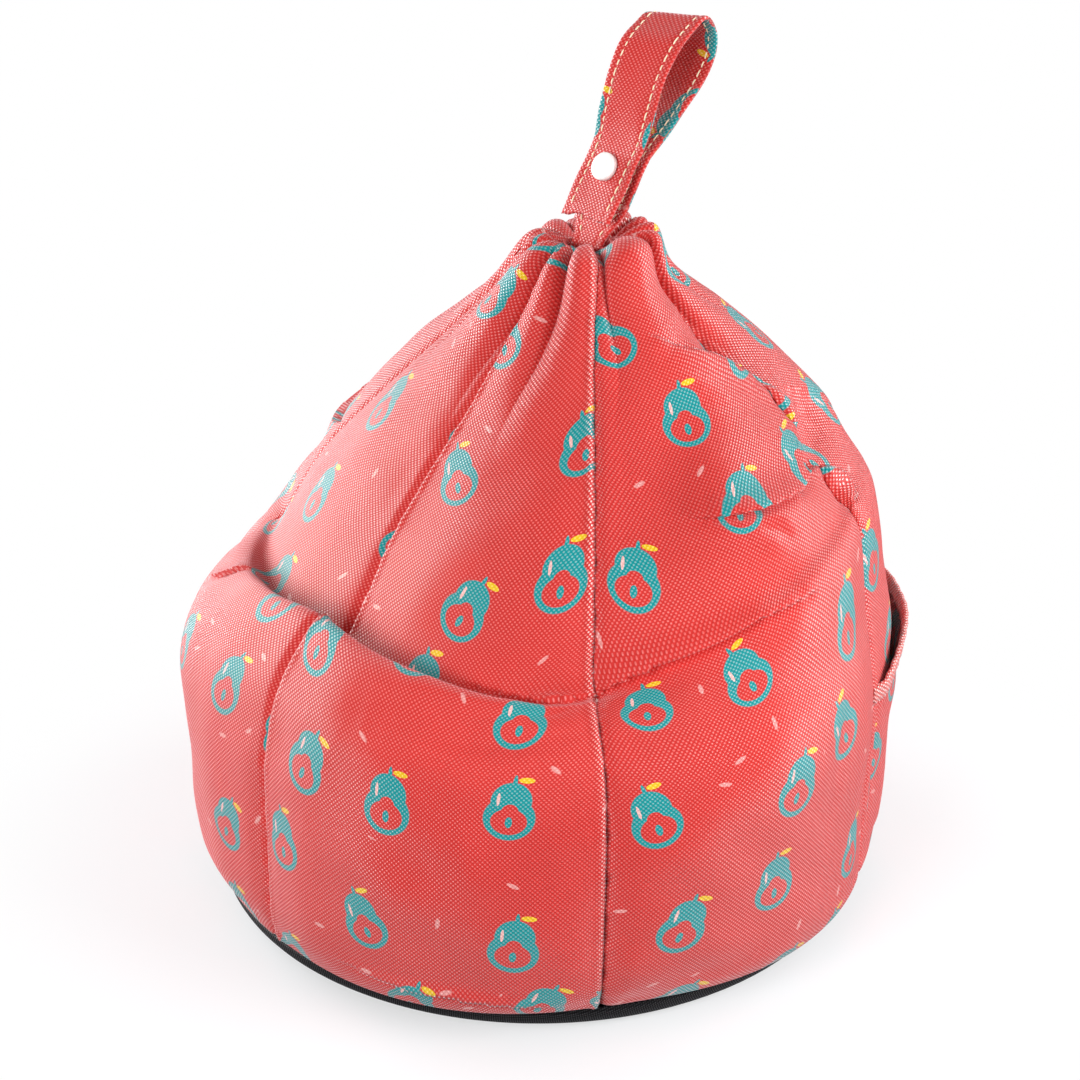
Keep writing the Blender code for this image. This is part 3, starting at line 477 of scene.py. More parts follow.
# shift toward the back, radii at 0, 60, 120 and 180 degrees, heights there, share of the bulge
coverLevels = (
    ("baseRoll", 0.0, (0.955, 0.965, 0.985, 0.965), (0.056, 0.054, 0.056, 0.056), 0.25),
    ("lowerWall", 0.0, (0.965, 0.985, 0.985, 0.965), (0.096, 0.094, 0.096, 0.096), 0.75),
    ("waist", 0.0, (0.962, 1.005, 0.990, 0.975), (0.212, 0.215, 0.223, 0.223), 1.0),
    ("widest", 0.0, (0.958, 1.012, 0.995, 0.970), (0.340, 0.342, 0.352, 0.354), 1.0),
    ("shoulder", 0.0, (0.915, 0.985, 0.975, 0.955), (0.437, 0.424, 0.454, 0.462), 0.9),
    ("ledgeFront", 0.0, (0.840, 0.905, 0.955, 0.930), (0.500, 0.476, 0.523, 0.531), 0.75),
    ("ledgeCrest", 0.0, (0.756, 0.850, 0.935, 0.900), (0.540, 0.505, 0.619, 0.596), 0.65),
    ("groove", 0.0, (0.684, 0.805, 0.910, 0.865), (0.493, 0.520, 0.655, 0.639), 0.62),
    ("restFoot", 0.015, (0.610, 0.760, 0.855, 0.805), (0.555, 0.570, 0.672, 0.700), 0.6),
    ("restLow", 0.036, (0.550, 0.680, 0.775, 0.720), (0.625, 0.645, 0.725, 0.762), 0.6),
    ("restMiddle", 0.073, (0.460, 0.530, 0.625, 0.590), (0.705, 0.740, 0.795, 0.825), 0.6),
    ("restHigh", 0.109, (0.340, 0.375, 0.430, 0.420), (0.792, 0.830, 0.870, 0.890), 0.5),
    ("gatherFoot", 0.145, (0.225, 0.245, 0.255, 0.250), (0.890, 0.915, 0.940, 0.950), 0.3),
    ("gatherCrest", 0.175, (0.153, 0.162, 0.180, 0.190), (0.967, 0.984, 1.000, 1.008), 0.1),
)
neckLevel = len(coverLevels) + 1
stations = np.radians((0, 60, 120, 180))
goreWidth = 2 * math.pi / cover["gores"]

# the gores in order from the front seam toward +X, with how far each one's lower edge droops
gores = (
    ("panel_front_right", 1.0), ("panel_right", 0.3), ("panel_back_right", 0.3),
    ("panel_back_left", 0.3), ("panel_left", 0.3), ("panel_front_left", 0.2),
)


def aroundBody(values, angle):
    orders = np.arange(len(stations))
    weights = np.linalg.solve(np.cos(np.outer(stations, orders)), np.array(values, float))
    return np.cos(np.multiply.outer(angle, orders)) @ weights


def goreSwell(angle):
    return np.abs(np.sin(cover["gores"] * angle / 2)) ** cover["swellPower"]


def levelPoints(angle):
    across, along, flat = np.sin(angle), -np.cos(angle), np.ones_like(angle)
    radius, height = cover["baseRadius"], cover["baseHeight"]
    levels = [np.stack([radius * across, radius * along, height * flat], -1)]
    droop = np.array([share for _, share in gores])
    gore = np.floor(angle / goreWidth).astype(int) % cover["gores"]
    for name, shift, radii, heights, bulge in coverLevels:
        ring = (cover["radius"] * aroundBody(radii, angle)
                + cover["bulge"] * bulge * goreSwell(angle))
        rise = cover["height"] * aroundBody(heights, angle)
        if name == cover["droopLevel"]:
            rise = rise - cover["droop"] * droop[gore] * goreSwell(angle)
        levels.append(np.stack([ring * across, cover["radius"] * shift + ring * along, rise], -1))
    neck = cover["neckRadius"]
    levels.append(np.stack([neck * across, cover["neckShift"] + neck * along,
                            cover["neckHeight"] * flat], -1))
    return np.array(levels)


# the plain cover at each pair of an angle and a level
def smoothCover(angle, level):
    points = levelPoints(angle)
    last = len(points) - 1
    start = np.clip(np.floor(level).astype(int), 0, last - 1)
    column = np.arange(len(angle))
    return curveBetween(points[np.maximum(start - 1, 0), column], points[start, column],
                        points[start + 1, column], points[np.minimum(start + 2, last), column],
                        (level - start)[:, None])


def coverNormals(angle, level):
    turn, rise = math.radians(0.6), 0.02   # small steps to either side of the point
    around = smoothCover(angle + turn, level) - smoothCover(angle - turn, level)
    upward = (smoothCover(angle, np.minimum(level + rise, neckLevel))
              - smoothCover(angle, np.maximum(level - rise, 0)))
    normals = np.cross(around, upward)
    return normals / np.maximum(np.linalg.norm(normals, axis=-1, keepdims=True), 1e-12)


# Gathers round the neck: the angle of each valley in degrees, and its depth in mm

gathers = {
    "valleys": ((-48, 5.0), (-4, 5.5), (27, 9.0), (67, 6.5), (122, 6.0), (143, 4.6), (163, 4.6),
                (184, 4.8), (206, 4.6), (229, 4.8), (252, 4.6), (278, 4.6)),
    "start": 11.2, "full": 13.8, "fadeStart": 14.35, "growth": 1.3,   # levels, and a power
    "sway": 3.0, "swayPerLevel": 2.2,                                 # degrees, and radians
    "roundness": 0.55, "wide": 30.0, "widthShares": (0.85, 1.25), "neutral": 0.70,
}


# rounded puffs with sharp valleys between them, which run down the slope and fade
def gatherDepth(angle, level):
    valleys = np.array([v for v, _ in gathers["valleys"]], float)
    depths = np.array([d for _, d in gathers["valleys"]], float) / 1000
    sway = np.radians(gathers["sway"]) * np.sin(gathers["swayPerLevel"] * level + 2 * angle)
    degrees = (np.degrees(angle + sway) - valleys[0]) % 360
    edges = np.append(valleys - valleys[0], 360.0)
    index = np.clip(np.searchsorted(edges, degrees, side="right") - 1, 0, len(valleys) - 1)
    width = edges[index + 1] - edges[index]
    share = (degrees - edges[index]) / width
    nextDepth = np.append(depths, depths[0])[index + 1]
    depth = depths[index] * (1 - share) + nextDepth * share
    puff = np.sin(np.pi * share) ** gathers["roundness"]
    puff = puff * np.clip(width / gathers["wide"], *gathers["widthShares"])
    length = smoothStep(level, gathers["start"], gathers["full"]) ** gathers["growth"]
    length = length * (1 - smoothStep(level, gathers["fadeStart"], neckLevel))
    return depth * length * (puff - gathers["neutral"])


# Folds of the cover. A path goes by (degrees from the front, level). Kinds: "valley" and "ridge"
# are round, "cleft" is sharp, "step" lifts the cloth on the left of the path over the right, and
# "lap" also draws it over the path, so that it hides what lies on the right.

folds = (
    # name, kind, width mm, depth mm, path
    ("upperLap", "lap", 7.0, 3.6, ((125, 10.9), (121.5, 11.2), (117.5, 11.46), (113.5, 11.72),
                                   (110.5, 11.88), (105.5, 12.04), (100, 12.2), (94, 12.4))),
    ("upperHollow", "valley", 13.0, 4.6, ((130, 11.1), (124, 11.7), (118, 12.0), (111, 12.35),
                                          (104, 12.7))),
    ("flap", "ridge", 4.0, 1.8, ((109.5, 12.32), (107.5, 12.16), (106, 12.06))),
    ("kinkLip", "lap", 6.5, 4.6, ((83, 10.44), (86, 10.38), (92, 10.33), (95, 10.29),
                                  (98.5, 10.26), (104.5, 10.19), (110, 10.18), (112, 10.16))),
    ("kinkRidge", "step", 9.0, 4.0, ((108, 10.1), (112, 10.26), (117, 10.4), (123, 10.62),
                                     (128, 10.9))),
    ("kinkHollow", "valley", 12.0, 6.6, ((137, 10.8), (131, 10.3), (123, 10.12), (114, 10.14))),
    ("kinkArc", "lap", 4.5, 2.8, ((122, 8.4), (124, 8.8), (125, 9.15), (123.5, 9.52), (119, 9.9),
                                  (112, 10.16))),
    ("kinkPouch", "ridge", 9.0, 2.0, ((90, 9.9), (97, 10.02), (104, 9.95), (111, 9.7))),
    ("pouchCrease", "cleft", 2.4, 1.2, ((93, 10.05), (97, 9.85), (100, 9.6))),
    ("crease", "lap", 6.0, 3.3, ((38, 8.15), (44, 8.05), (49, 7.84), (54, 7.6), (59.5, 7.66),
                                 (64, 7.98), (69.5, 8.18), (76, 8.22), (80.5, 8.3), (85, 8.28),
                                 (90, 8.12), (94, 7.92), (98, 7.7))),
    ("creaseUnder", "valley", 8.0, 2.6, ((44, 7.5), (54, 7.0), (62, 7.3), (72, 7.6), (82, 7.75),
                                         (90, 7.6))),
    ("lipHollow", "valley", 7.0, 2.6, ((20, 5.6), (29.5, 5.72), (36, 5.74), (44, 5.76),
                                       (51, 5.95), (57, 6.2))),
    ("lipFold", "cleft", 3.0, 1.2, ((30, 6.15), (37, 6.2), (44, 6.3), (51, 6.55), (57, 6.9))),
    ("hemLap", "lap", 3.6, 1.7, ((19, 1.86), (24.5, 1.82), (30.5, 1.78), (37, 1.74), (42, 1.68),
                                 (47, 1.58), (52, 1.4))),
    ("hemHollow", "valley", 9.0, 2.0, ((62, 1.6), (69, 1.72), (78, 1.85), (88, 2.0))),
    ("sideRipple", "valley", 7.0, 1.5, ((103.5, 5.1), (101, 4.5), (99, 3.9), (98, 3.2))),
    ("sideRippleLow", "valley", 6.0, 1.2, ((115, 3.6), (116.5, 3.1), (116.5, 2.4))),
    ("restHollow", "valley", 20.0, 3.2, ((98, 11.9), (88, 11.5), (78, 11.0), (70, 10.2),
                                         (66, 9.4))),
    ("restRidge", "ridge", 14.0, 1.8, ((101, 11.5), (94, 11.1), (87, 10.6), (83, 10.0))),
    ("leftCleft", "lap", 3.6, 1.8, ((-45, 5.6), (-41.5, 5.76), (-37, 6.3), (-36, 6.68),
                                    (-33, 7.2))),
    ("leftDent", "valley", 12.0, 1.8, ((-52, 4.2), (-46, 3.6), (-40, 3.2))),
    ("frontDent", "valley", 22.0, 2.0, ((14, 4.4), (22, 4.2), (31, 4.0), (40, 4.1))),
    ("backFold", "step", 8.0, 2.6, ((150, 9.6), (162, 9.3), (176, 9.1), (190, 9.4), (202, 9.9))),
    ("backHollow", "valley", 12.0, 2.4, ((214, 7.6), (222, 6.9), (226, 6.0))),
    ("backFoldLow", "step", 7.0, 2.0, ((196, 5.2), (208, 5.0), (220, 5.4), (230, 6.0))),
    ("leftRestFold", "step", 7.0, 2.4, ((-64, 10.2), (-74, 9.8), (-86, 9.7), (-98, 10.0))),
    ("leftWaistFold", "valley", 9.0, 1.8, ((-70, 5.8), (-80, 5.2), (-90, 4.4))),
)
foldShape = {
    "spanSteps": 12, "smoothing": 20,            # points to each span of a path, and passes
    "reach": 4, "ends": 0.03, "taper": 0.6,      # reach in widths of the fold
    "lapDraw": 0.85, "stepDrop": 0.75, "stepDropWidth": 0.6,
    "cleftBank": 0.35, "cleftBankAt": 2.2,       # shares of the fold's depth and width
}


# points and normals on the plain cover along a path, with its corners rounded
def pathPoints(path):
    angles, levels = [], []
    for (angleStart, levelStart), (angleEnd, levelEnd) in zip(path, path[1:]):
        for i in range(foldShape["spanSteps"]):
            angles.append(angleStart + (angleEnd - angleStart) * i / foldShape["spanSteps"])
            levels.append(levelStart + (levelEnd - levelStart) * i / foldShape["spanSteps"])
    angles.append(path[-1][0])
    levels.append(path[-1][1])
    angles, levels = np.radians(angles), np.array(levels, float)
    evenOut(angles, foldShape["smoothing"])
    evenOut(levels, foldShape["smoothing"])
    return smoothCover(angles, levels), coverNormals(angles, levels)


# how far the folds move each point of the plain cover: outward, and along the cloth
def foldMoves(points):
    lift, slide = np.zeros(len(points)), np.zeros((len(points), 3))
    for _, kind, width, depth, path in folds:
        width, depth = width / 1000, depth / 1000
        line, normals = pathPoints(path)
        middle = line.mean(axis=0)
        reach = np.linalg.norm(line - middle, axis=1).max() + foldShape["reach"] * width
        near = np.flatnonzero(np.linalg.norm(points - middle, axis=1) < reach)
        if len(near) == 0:
            continue
        gaps = points[near][:, None] - line[None]
        nearest = np.argmin(np.linalg.norm(gaps, axis=2), axis=1)
        gap = gaps[np.arange(len(near)), nearest]
        leftward = np.cross(normals, np.gradient(line, axis=0))
        leftward /= np.linalg.norm(leftward, axis=1, keepdims=True)
        side = np.einsum("ij,ij->i", gap, leftward[nearest])
        distance = np.linalg.norm(gap, axis=1)
        along = np.clip(nearest / (len(line) - 1), foldShape["ends"], 1 - foldShape["ends"])
        taper = np.sin(np.pi * along) ** foldShape["taper"]
        hill = np.exp(-(distance / width) ** 2)
        if kind in ("step", "lap"):
            high = side > 0
            drop = np.exp(-(distance / (foldShape["stepDropWidth"] * width)) ** 2)
            rise = np.where(high, hill, -foldShape["stepDrop"] * drop)
            if kind == "lap":
                draw = foldShape["lapDraw"] * depth * taper * high * hill
                slide[near] -= leftward[nearest] * draw[:, None]
        elif kind == "cleft":
            bank = np.exp(-((distance - foldShape["cleftBankAt"] * width) / width) ** 2)
            rise = -np.exp(-distance / width) + foldShape["cleftBank"] * bank
        else:
            rise = hill * (1 if kind == "ridge" else -1)
        lift[near] += depth * taper * rise
    return lift, slide


# Seams. Beside each seam the cloth dips, and where a gore's turned edge lies on top of its
# neighbour's it stands up a little and is painted pale along the ridge, partly the cloth's paler
# edge and partly a painted highlight where the ridge catches the light.

seams = {
    # for each gore, whether its first and its last edge are raised
    "raised": {"panel_front_right": (True, True), "panel_back_left": (True, True)},
    "dip": 0.0013, "dipWidth": 0.0022, "sharpWidth": 0.0009,
    "lift": 0.0008, "liftAt": 0.0019, "liftWidth": 0.0012, "liftFrom": 0.0009,
    "pucker": 0.35, "puckerWaves": (520, 211), "puckerPhases": (1.7, 3),
    "seamPaleAndHighlight": 0.85, "seamPaleAndHighlightFrom": 0.0018, "seamPaleAndHighlightTo": 0.0032,
}


def seamDepth(index, fromStart, fromEnd, along):
    raised = seams["raised"].get(gores[index][0], (False, False))
    total, seamPaleAndHighlight = np.zeros_like(fromStart), np.zeros_like(fromStart)
    (fast, slow), (fastPhase, slowPhase) = seams["puckerWaves"], seams["puckerPhases"]
    edges = ((fromStart, raised[0], index), (fromEnd, raised[1], (index + 1) % cover["gores"]))
    for distance, isRaised, phase in edges:
        wave = np.sin(along * fast + fastPhase * phase) * np.sin(along * slow + slowPhase * phase)
        pucker = 1 + seams["pucker"] * wave
        width = seams["sharpWidth"] if isRaised else seams["dipWidth"]
        total -= seams["dip"] * pucker * np.exp(-(distance / width) ** 2)
        if isRaised:
            ridge = np.exp(-((distance - seams["liftAt"]) / seams["liftWidth"]) ** 2)
            total += seams["lift"] * pucker * ridge * smoothStep(distance, 0.0, seams["liftFrom"])
            # the pale edge of a raised seam: partly the cloth's paler turned edge, partly a painted
            # highlight
            shown = 1 - smoothStep(distance, seams["seamPaleAndHighlightFrom"], seams["seamPaleAndHighlightTo"])
            seamPaleAndHighlight = np.maximum(seamPaleAndHighlight, seams["seamPaleAndHighlight"] * shown)
    return total, seamPaleAndHighlight


# Wrinkles: the height and the size of the small and the large ones in metres, with the seed of
# each, and the levels between which they grow and fade

wrinkles = {
    "small": (0.0010, 0.032, 5), "large": (0.0024, 0.085, 8), "waves": 9, "sizes": (0.7, 1.5),
    "turn": 6.28,
    "grow": (1.0, 2.5), "fade": (13.0, 14.5), "seamReach": 0.012,
}


# smooth noise from a few crossed waves, about the given size from crest to crest
def wrinkleNoise(points, size, seed):
    draw = np.random.default_rng(seed)
    total = np.zeros(len(points))
    for _ in range(wrinkles["waves"]):
        direction = draw.normal(size=3)
        direction /= np.linalg.norm(direction)
        waveLength = size * draw.uniform(*wrinkles["sizes"])
        phase = draw.uniform(0, wrinkles["turn"])
        total += np.sin(points @ direction * 2 * math.pi / waveLength + phase)
    return total / wrinkles["waves"]


# all that moves the plain cover outward and along the cloth, apart from the seams
def formMoves(angle, level, plain, seamFade=1.0):
    body = smoothStep(level, *wrinkles["grow"]) * (1 - smoothStep(level, *wrinkles["fade"]))
    soft = sum(height * wrinkleNoise(plain, size, seed)
               for height, size, seed in (wrinkles["small"], wrinkles["large"]))
    lift, slide = foldMoves(plain)
    return gatherDepth(angle, level) + lift + soft * body * seamFade, slide


# levels that are evenly spaced along the cloth at one angle, and their distances along it
def evenLevels(angle, rows):
    fine = np.linspace(0, neckLevel, cover["fineLevels"])
    lengths = runAlong(smoothCover(np.full(len(fine), angle), fine))
    wanted = np.linspace(0, lengths[-1], rows + 1)
    return np.interp(wanted, lengths, fine), wanted


def makeGore(index):
    name = gores[index][0]
    columns, rows = cover["columns"], cover["rows"]
    levels, along = evenLevels(goreWidth * (index + 0.5), rows)
    angles = np.linspace(goreWidth * index, goreWidth * (index + 1), columns + 1)
    angleGrid, level = np.meshgrid(angles, levels)
    level = level.ravel()
    # kept just inside the gore, so that each has its own droop at its seams
    inner = np.clip(angleGrid.ravel(), angles[0] + 1e-7, angles[-1] - 1e-7)
    plain = smoothCover(inner, level)
    steps = np.linalg.norm(np.diff(plain.reshape(rows + 1, columns + 1, 3), axis=1), axis=2)
    fromStart = addUp(steps, axis=1)
    fromEnd = fromStart[:, -1:] - fromStart
    alongGrid = np.repeat(along[:, None], columns + 1, axis=1)
    seam, seamPaleAndHighlight = seamDepth(index, fromStart.ravel(), fromEnd.ravel(), alongGrid.ravel())
    fromSeam = np.minimum(fromStart, fromEnd).ravel()
    seamFade = smoothStep(fromSeam, 0.0, wrinkles["seamReach"])
    depth, slide = formMoves(inner, level, plain, seamFade)
    points = plain + coverNormals(inner, level) * (depth + seam)[:, None] + slide
    printShift = np.multiply(cover["printStep"], index) + cover["printStart"]
    uv = np.stack([fromStart - fromStart[:, -1:] / 2, alongGrid], -1) + printShift
    gore = makeGridPiece(name + "_cloth", points.reshape(rows + 1, columns + 1, 3), uv,
                         clothMaterial)
    order = np.zeros(len(gore.data.vertices), dtype=np.int32)
    gore.data.attributes["order"].data.foreach_get("value", order)
    # the pale seam edge, partly a painted highlight, goes to the material as an attribute
    attribute = gore.data.attributes.new("seamEdgePaleAndHighlight", "FLOAT", "POINT")
    attribute.data.foreach_set("value", seamPaleAndHighlight[order].astype(np.float32))
    addWall(gore, cover["thickness"])
    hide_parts(name)
    print("gore made:", name)


for goreIndex in range(len(gores)):
    makeGore(goreIndex)


# Bead bag: white non-woven liner, spun polypropylene, which gives a faint fibrous mottle

def makeLinerMaterial():
    material, tree, shader, place = newMaterial("nonWovenLiner")
    fibres = addNode(tree, "ShaderNodeTexNoise", None,
                     {"Vector": place, "Scale": 900.0, "Detail": 4.0, "Roughness": 0.7,
                      "Distortion": 1.5}).outputs["Fac"]
    tone = addNode(tree, "ShaderNodeMix", {"data_type": "RGBA"},
                   {"Factor": fibres, "A": linearColour("#D9D8D2"), "B": linearColour("#F2F1EC")})
    bump = addNode(tree, "ShaderNodeBump", None,
                   {"Strength": 0.5, "Distance": 0.0001, "Height": fibres})
    setInputs(tree, shader, {"Base Color": tone.outputs["Result"], "Roughness": 0.85,
                             "Normal": bump.outputs["Normal"]})
    return material


# expanded polystyrene beads about 3 mm across, matt and white, each painted grey toward its rim as
# painted shade in the crevices between the beads
def makeBeadMaterial():
    material, tree, shader, place = newMaterial("polystyreneBeads")
    beads = addNode(tree, "ShaderNodeTexVoronoi", None, {"Vector": place, "Scale": 330.0})
    crown = addNode(tree, "ShaderNodeMapRange", {"interpolation_type": "SMOOTHSTEP"},
                    {"Value": beads.outputs["Distance"], "From Min": 0.1, "From Max": 0.75,
                     "To Min": 1.0, "To Max": 0.0}).outputs[0]
    # painted shade: grey at each bead's rim, white on its crown
    tone = addNode(tree, "ShaderNodeMix", {"data_type": "RGBA"},
                   {"Factor": crown, "A": linearColour("#C8C8C4"), "B": linearColour("#F6F6F2")})
    bump = addNode(tree, "ShaderNodeBump", None,
                   {"Strength": 0.9, "Distance": 0.0008, "Height": crown})
    setInputs(tree, shader, {"Base Color": tone.outputs["Result"], "Roughness": 0.8,
                             "Normal": bump.outputs["Normal"]})
    return material


bag = {
    "columns": 120, "rows": 120, "lowLevel": 2.0, "topLevel": 13.9,
    "floorRows": 8, "floorRadius": 0.1170, "floorHeight": 0.0050,
    "mouthRadius": 0.0050, "mouthHeight": 0.2440,
    "gap": 0.0016, "fillGap": 0.0032, "lapShare": 1.5, "passes": 3,
    "uvRadius": 0.13,
}


def ringPoints(radius, angles, shift, height):
    return np.stack([radius * np.sin(angles), shift - radius * np.cos(angles),
                     np.full(len(angles), height)], -1)


# a closed body just inside the cover, which goes in wherever the cover's folds do
def makeBagBody(name, gap, material):
    angles = np.linspace(0, 2 * math.pi, bag["columns"] + 1)
    levels = np.linspace(bag["lowLevel"], bag["topLevel"], bag["rows"] + 1)
    angleGrid, levelGrid = np.meshgrid(angles, levels)
    angle, level = angleGrid.ravel() % (2 * math.pi), levelGrid.ravel()
    plain = smoothCover(angle, level)
    depth, slide = formMoves(angle, level, plain)
    depth = np.minimum(depth - bag["lapShare"] * np.linalg.norm(slide, axis=1), 0)
    depth = depth.reshape(angleGrid.shape)
    for _ in range(bag["passes"]):
        depth = np.minimum.reduce([np.roll(depth, shift, axis=1) for shift in (-1, 0, 1)])
        above, below = np.vstack([depth[1:], depth[-1:]]), np.vstack([depth[:1], depth[:-1]])
        depth = np.minimum.reduce([depth, above, below])
    wall = plain + coverNormals(angle, level) * (depth.ravel() - gap)[:, None]
    floor = [ringPoints(radius, angles, 0, bag["floorHeight"] + gap - bag["gap"])
             for radius in np.linspace(0, bag["floorRadius"] - gap, bag["floorRows"])]
    top = [ringPoints(radius, angles, cover["neckShift"], bag["mouthHeight"] - gap)
           for radius in (bag["mouthRadius"], 0.0)]
    points = np.concatenate([floor, wall.reshape(*angleGrid.shape, 3), top])
    along = addUp(np.linalg.norm(np.diff(points, axis=0), axis=2).mean(axis=1))
    uv = np.stack(np.broadcast_arrays(angles[None] * bag["uvRadius"], along[:, None]), -1)
    piece = makeGridPiece(name, points, uv, material, closed=True)
    return piece


liner = makeBagBody("bead_bag_liner", bag["gap"], makeLinerMaterial())
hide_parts("bead_bag")
beadFill = makeBagBody("bead_filling", bag["fillGap"], makeBeadMaterial())
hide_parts("bead_fill")
print("bead bag and filling made")


# Strap: one band of the printed cloth, folded in at both sides and stitched down along them. It
# follows the path of the CAD source, in a plane that turns with the strap's yaw.

strap = {
    "neckHeight": 0.2570, "neckShift": 0.0250, "yaw": 5.0,
    "width": 0.0250, "rootWidth": 0.0156, "thickness": 0.0018, "height": 0.0830, "bow": 0.0420,
    "sideLean": 0.0120, "rootDepth": 0.0040, "freeEnd": 0.0200, "twist": 19.0,
    "snapHeight": 0.0280, "snapLean": 0.0060, "snapTilt": 27.4, "snapSpacing": 0.0059,
    "snapReach": 0.0057, "straightShares": (-1.5, -1.0, 1.0, 1.5),
    # each leg above the stud, as shares of the bow and of the height over the stud
    "backLeg": ((0.48, 0.185), (0.68, 0.336), (0.88, 0.517), (1.00, 0.713), (0.97, 0.872)),
    "frontLeg": ((0.27, 0.215), (0.31, 0.411), (0.37, 0.623), (0.50, 0.819), (0.66, 0.925)),
    "spanSteps": 9, "rowSpacing": 0.0008, "facePoints": 33, "edgeTurns": (54, 18, -18, -54),
    "stitchInset": 0.0034, "stitchPitch": 0.0036, "stitchLength": 0.0027, "stitchMiddle": 0.4,
    "threadRadius": 0.00030, "threadRise": 0.00004, "firstStitchRow": 5, "lastStitchRow": 8,
    "dip": 0.00022, "dipWidth": 0.0008, "pucker": 0.00012, "puckerWidth": 0.0016,
    "ripple": 0.00035, "rippleWaves": (230, 120), "rippleFrom": 0.004, "rippleTo": 0.0125,
    # the free end is cut a little slanting, with a shallow notch and a frayed edge
    "cutSlant": 0.04, "notch": 0.0013, "notchShift": 0.003, "notchWidth": 0.0045,
    "fray": 0.0002, "frayWave": 1250, "cutRows": 14,
    "printShift": (0.313, 0.112), "blendReach": 0.0015,
}


# from the strap's own (side, back, up) to the shared frame
def placeStrap(points):
    points = np.asarray(points, float)
    turn = math.radians(strap["yaw"])
    side, back, up = points[..., 0], points[..., 1], points[..., 2]
    return np.stack([side * math.cos(turn) - back * math.sin(turn),
                     strap["neckShift"] + side * math.sin(turn) + back * math.cos(turn),
                     strap["neckHeight"] + up], -1)


def curveThrough(points, steps):
    points = [np.array(point, float) for point in points]
    padded = [2 * points[0] - points[1]] + points + [2 * points[-1] - points[-2]]
    curve = [curveBetween(*four, i / steps)
             for four in zip(padded, padded[1:], padded[2:], padded[3:]) for i in range(steps)]
    return np.array(curve + [points[-1]])


tilt = math.radians(strap["snapTilt"])
snapOut = np.array([-math.cos(tilt), math.sin(tilt)])
alongLegs = np.array([math.sin(tilt), math.cos(tilt)])
frontSnap = np.array([strap["snapLean"], strap["snapHeight"]])
backSnap = frontSnap - strap["snapSpacing"] * snapOut
crownRun = (strap["height"] - strap["thickness"] / 2 - strap["snapHeight"]) / math.cos(tilt)
crown = frontSnap + crownRun * alongLegs


# the band's middle line as (back, up), from its free end over the crown to its root
def strapPath():
    overStud = strap["height"] - strap["snapHeight"]
    legs = []
    for snap, shares in ((frontSnap, strap["frontLeg"]), (backSnap, strap["backLeg"])):
        leg = [snap + strap["snapReach"] * share * alongLegs for share in strap["straightShares"]]
        leg += [(strap["bow"] * bow, strap["snapHeight"] + overStud * rise) for bow, rise in shares]
        legs.append(leg)
    start = [frontSnap - strap["freeEnd"] * alongLegs]
    root = [(0, 0), (0, -strap["rootDepth"])]
    curve = curveThrough(start + legs[0] + [crown] + legs[1][::-1] + root, strap["spanSteps"])
    lengths = runAlong(curve)
    even = np.linspace(0, lengths[-1], int(lengths[-1] / strap["rowSpacing"]))
    return np.stack([np.interp(even, lengths, curve[:, axis]) for axis in (0, 1)], -1), even


# centre, sideways and outward directions and width at each point of the path
def strapFrames(path):
    up = path[:, 1]
    backLeg = np.arange(len(path)) > np.argmax(up)
    flare = np.where(backLeg, smoothStep(up, 0.0, strap["snapHeight"] / 2), 1.0)
    width = strap["rootWidth"] + (strap["width"] - strap["rootWidth"]) * flare
    climb = (up - strap["snapHeight"]) / (strap["height"] - strap["snapHeight"])
    twist = math.radians(strap["twist"]) * np.clip(climb, 0, None)
    side = np.stack([np.cos(twist), np.sin(twist), np.zeros(len(path))], -1)
    ahead = np.gradient(path, axis=0)
    face = np.cross(side, np.stack([np.zeros(len(path)), ahead[:, 0], ahead[:, 1]], -1))
    face /= np.linalg.norm(face, axis=1, keepdims=True)
    lean = strap["sideLean"] * np.clip(up / strap["height"], 0, None)
    return np.stack([lean, path[:, 0], up], -1), side, face, width


# points round the folded band as (across, through), with a dip along each row of stitches
def bandSection(width):
    half, edge = width / 2, strap["thickness"] / 2
    flat = np.linspace(-1, 1, strap["facePoints"]) * (half - edge)
    fromStitch = half - np.abs(flat) - strap["stitchInset"]
    face = edge - strap["dip"] * np.exp(-(fromStitch / strap["dipWidth"]) ** 2)
    turn = np.radians(strap["edgeTurns"])
    across = np.concatenate([flat, half - edge + edge * np.cos(turn),
                             flat[::-1], -half + edge - edge * np.cos(turn)])
    through = np.concatenate([face, edge * np.sin(turn), -face[::-1], -edge * np.sin(turn)])
    return np.append(across, across[0]), np.append(through, through[0])


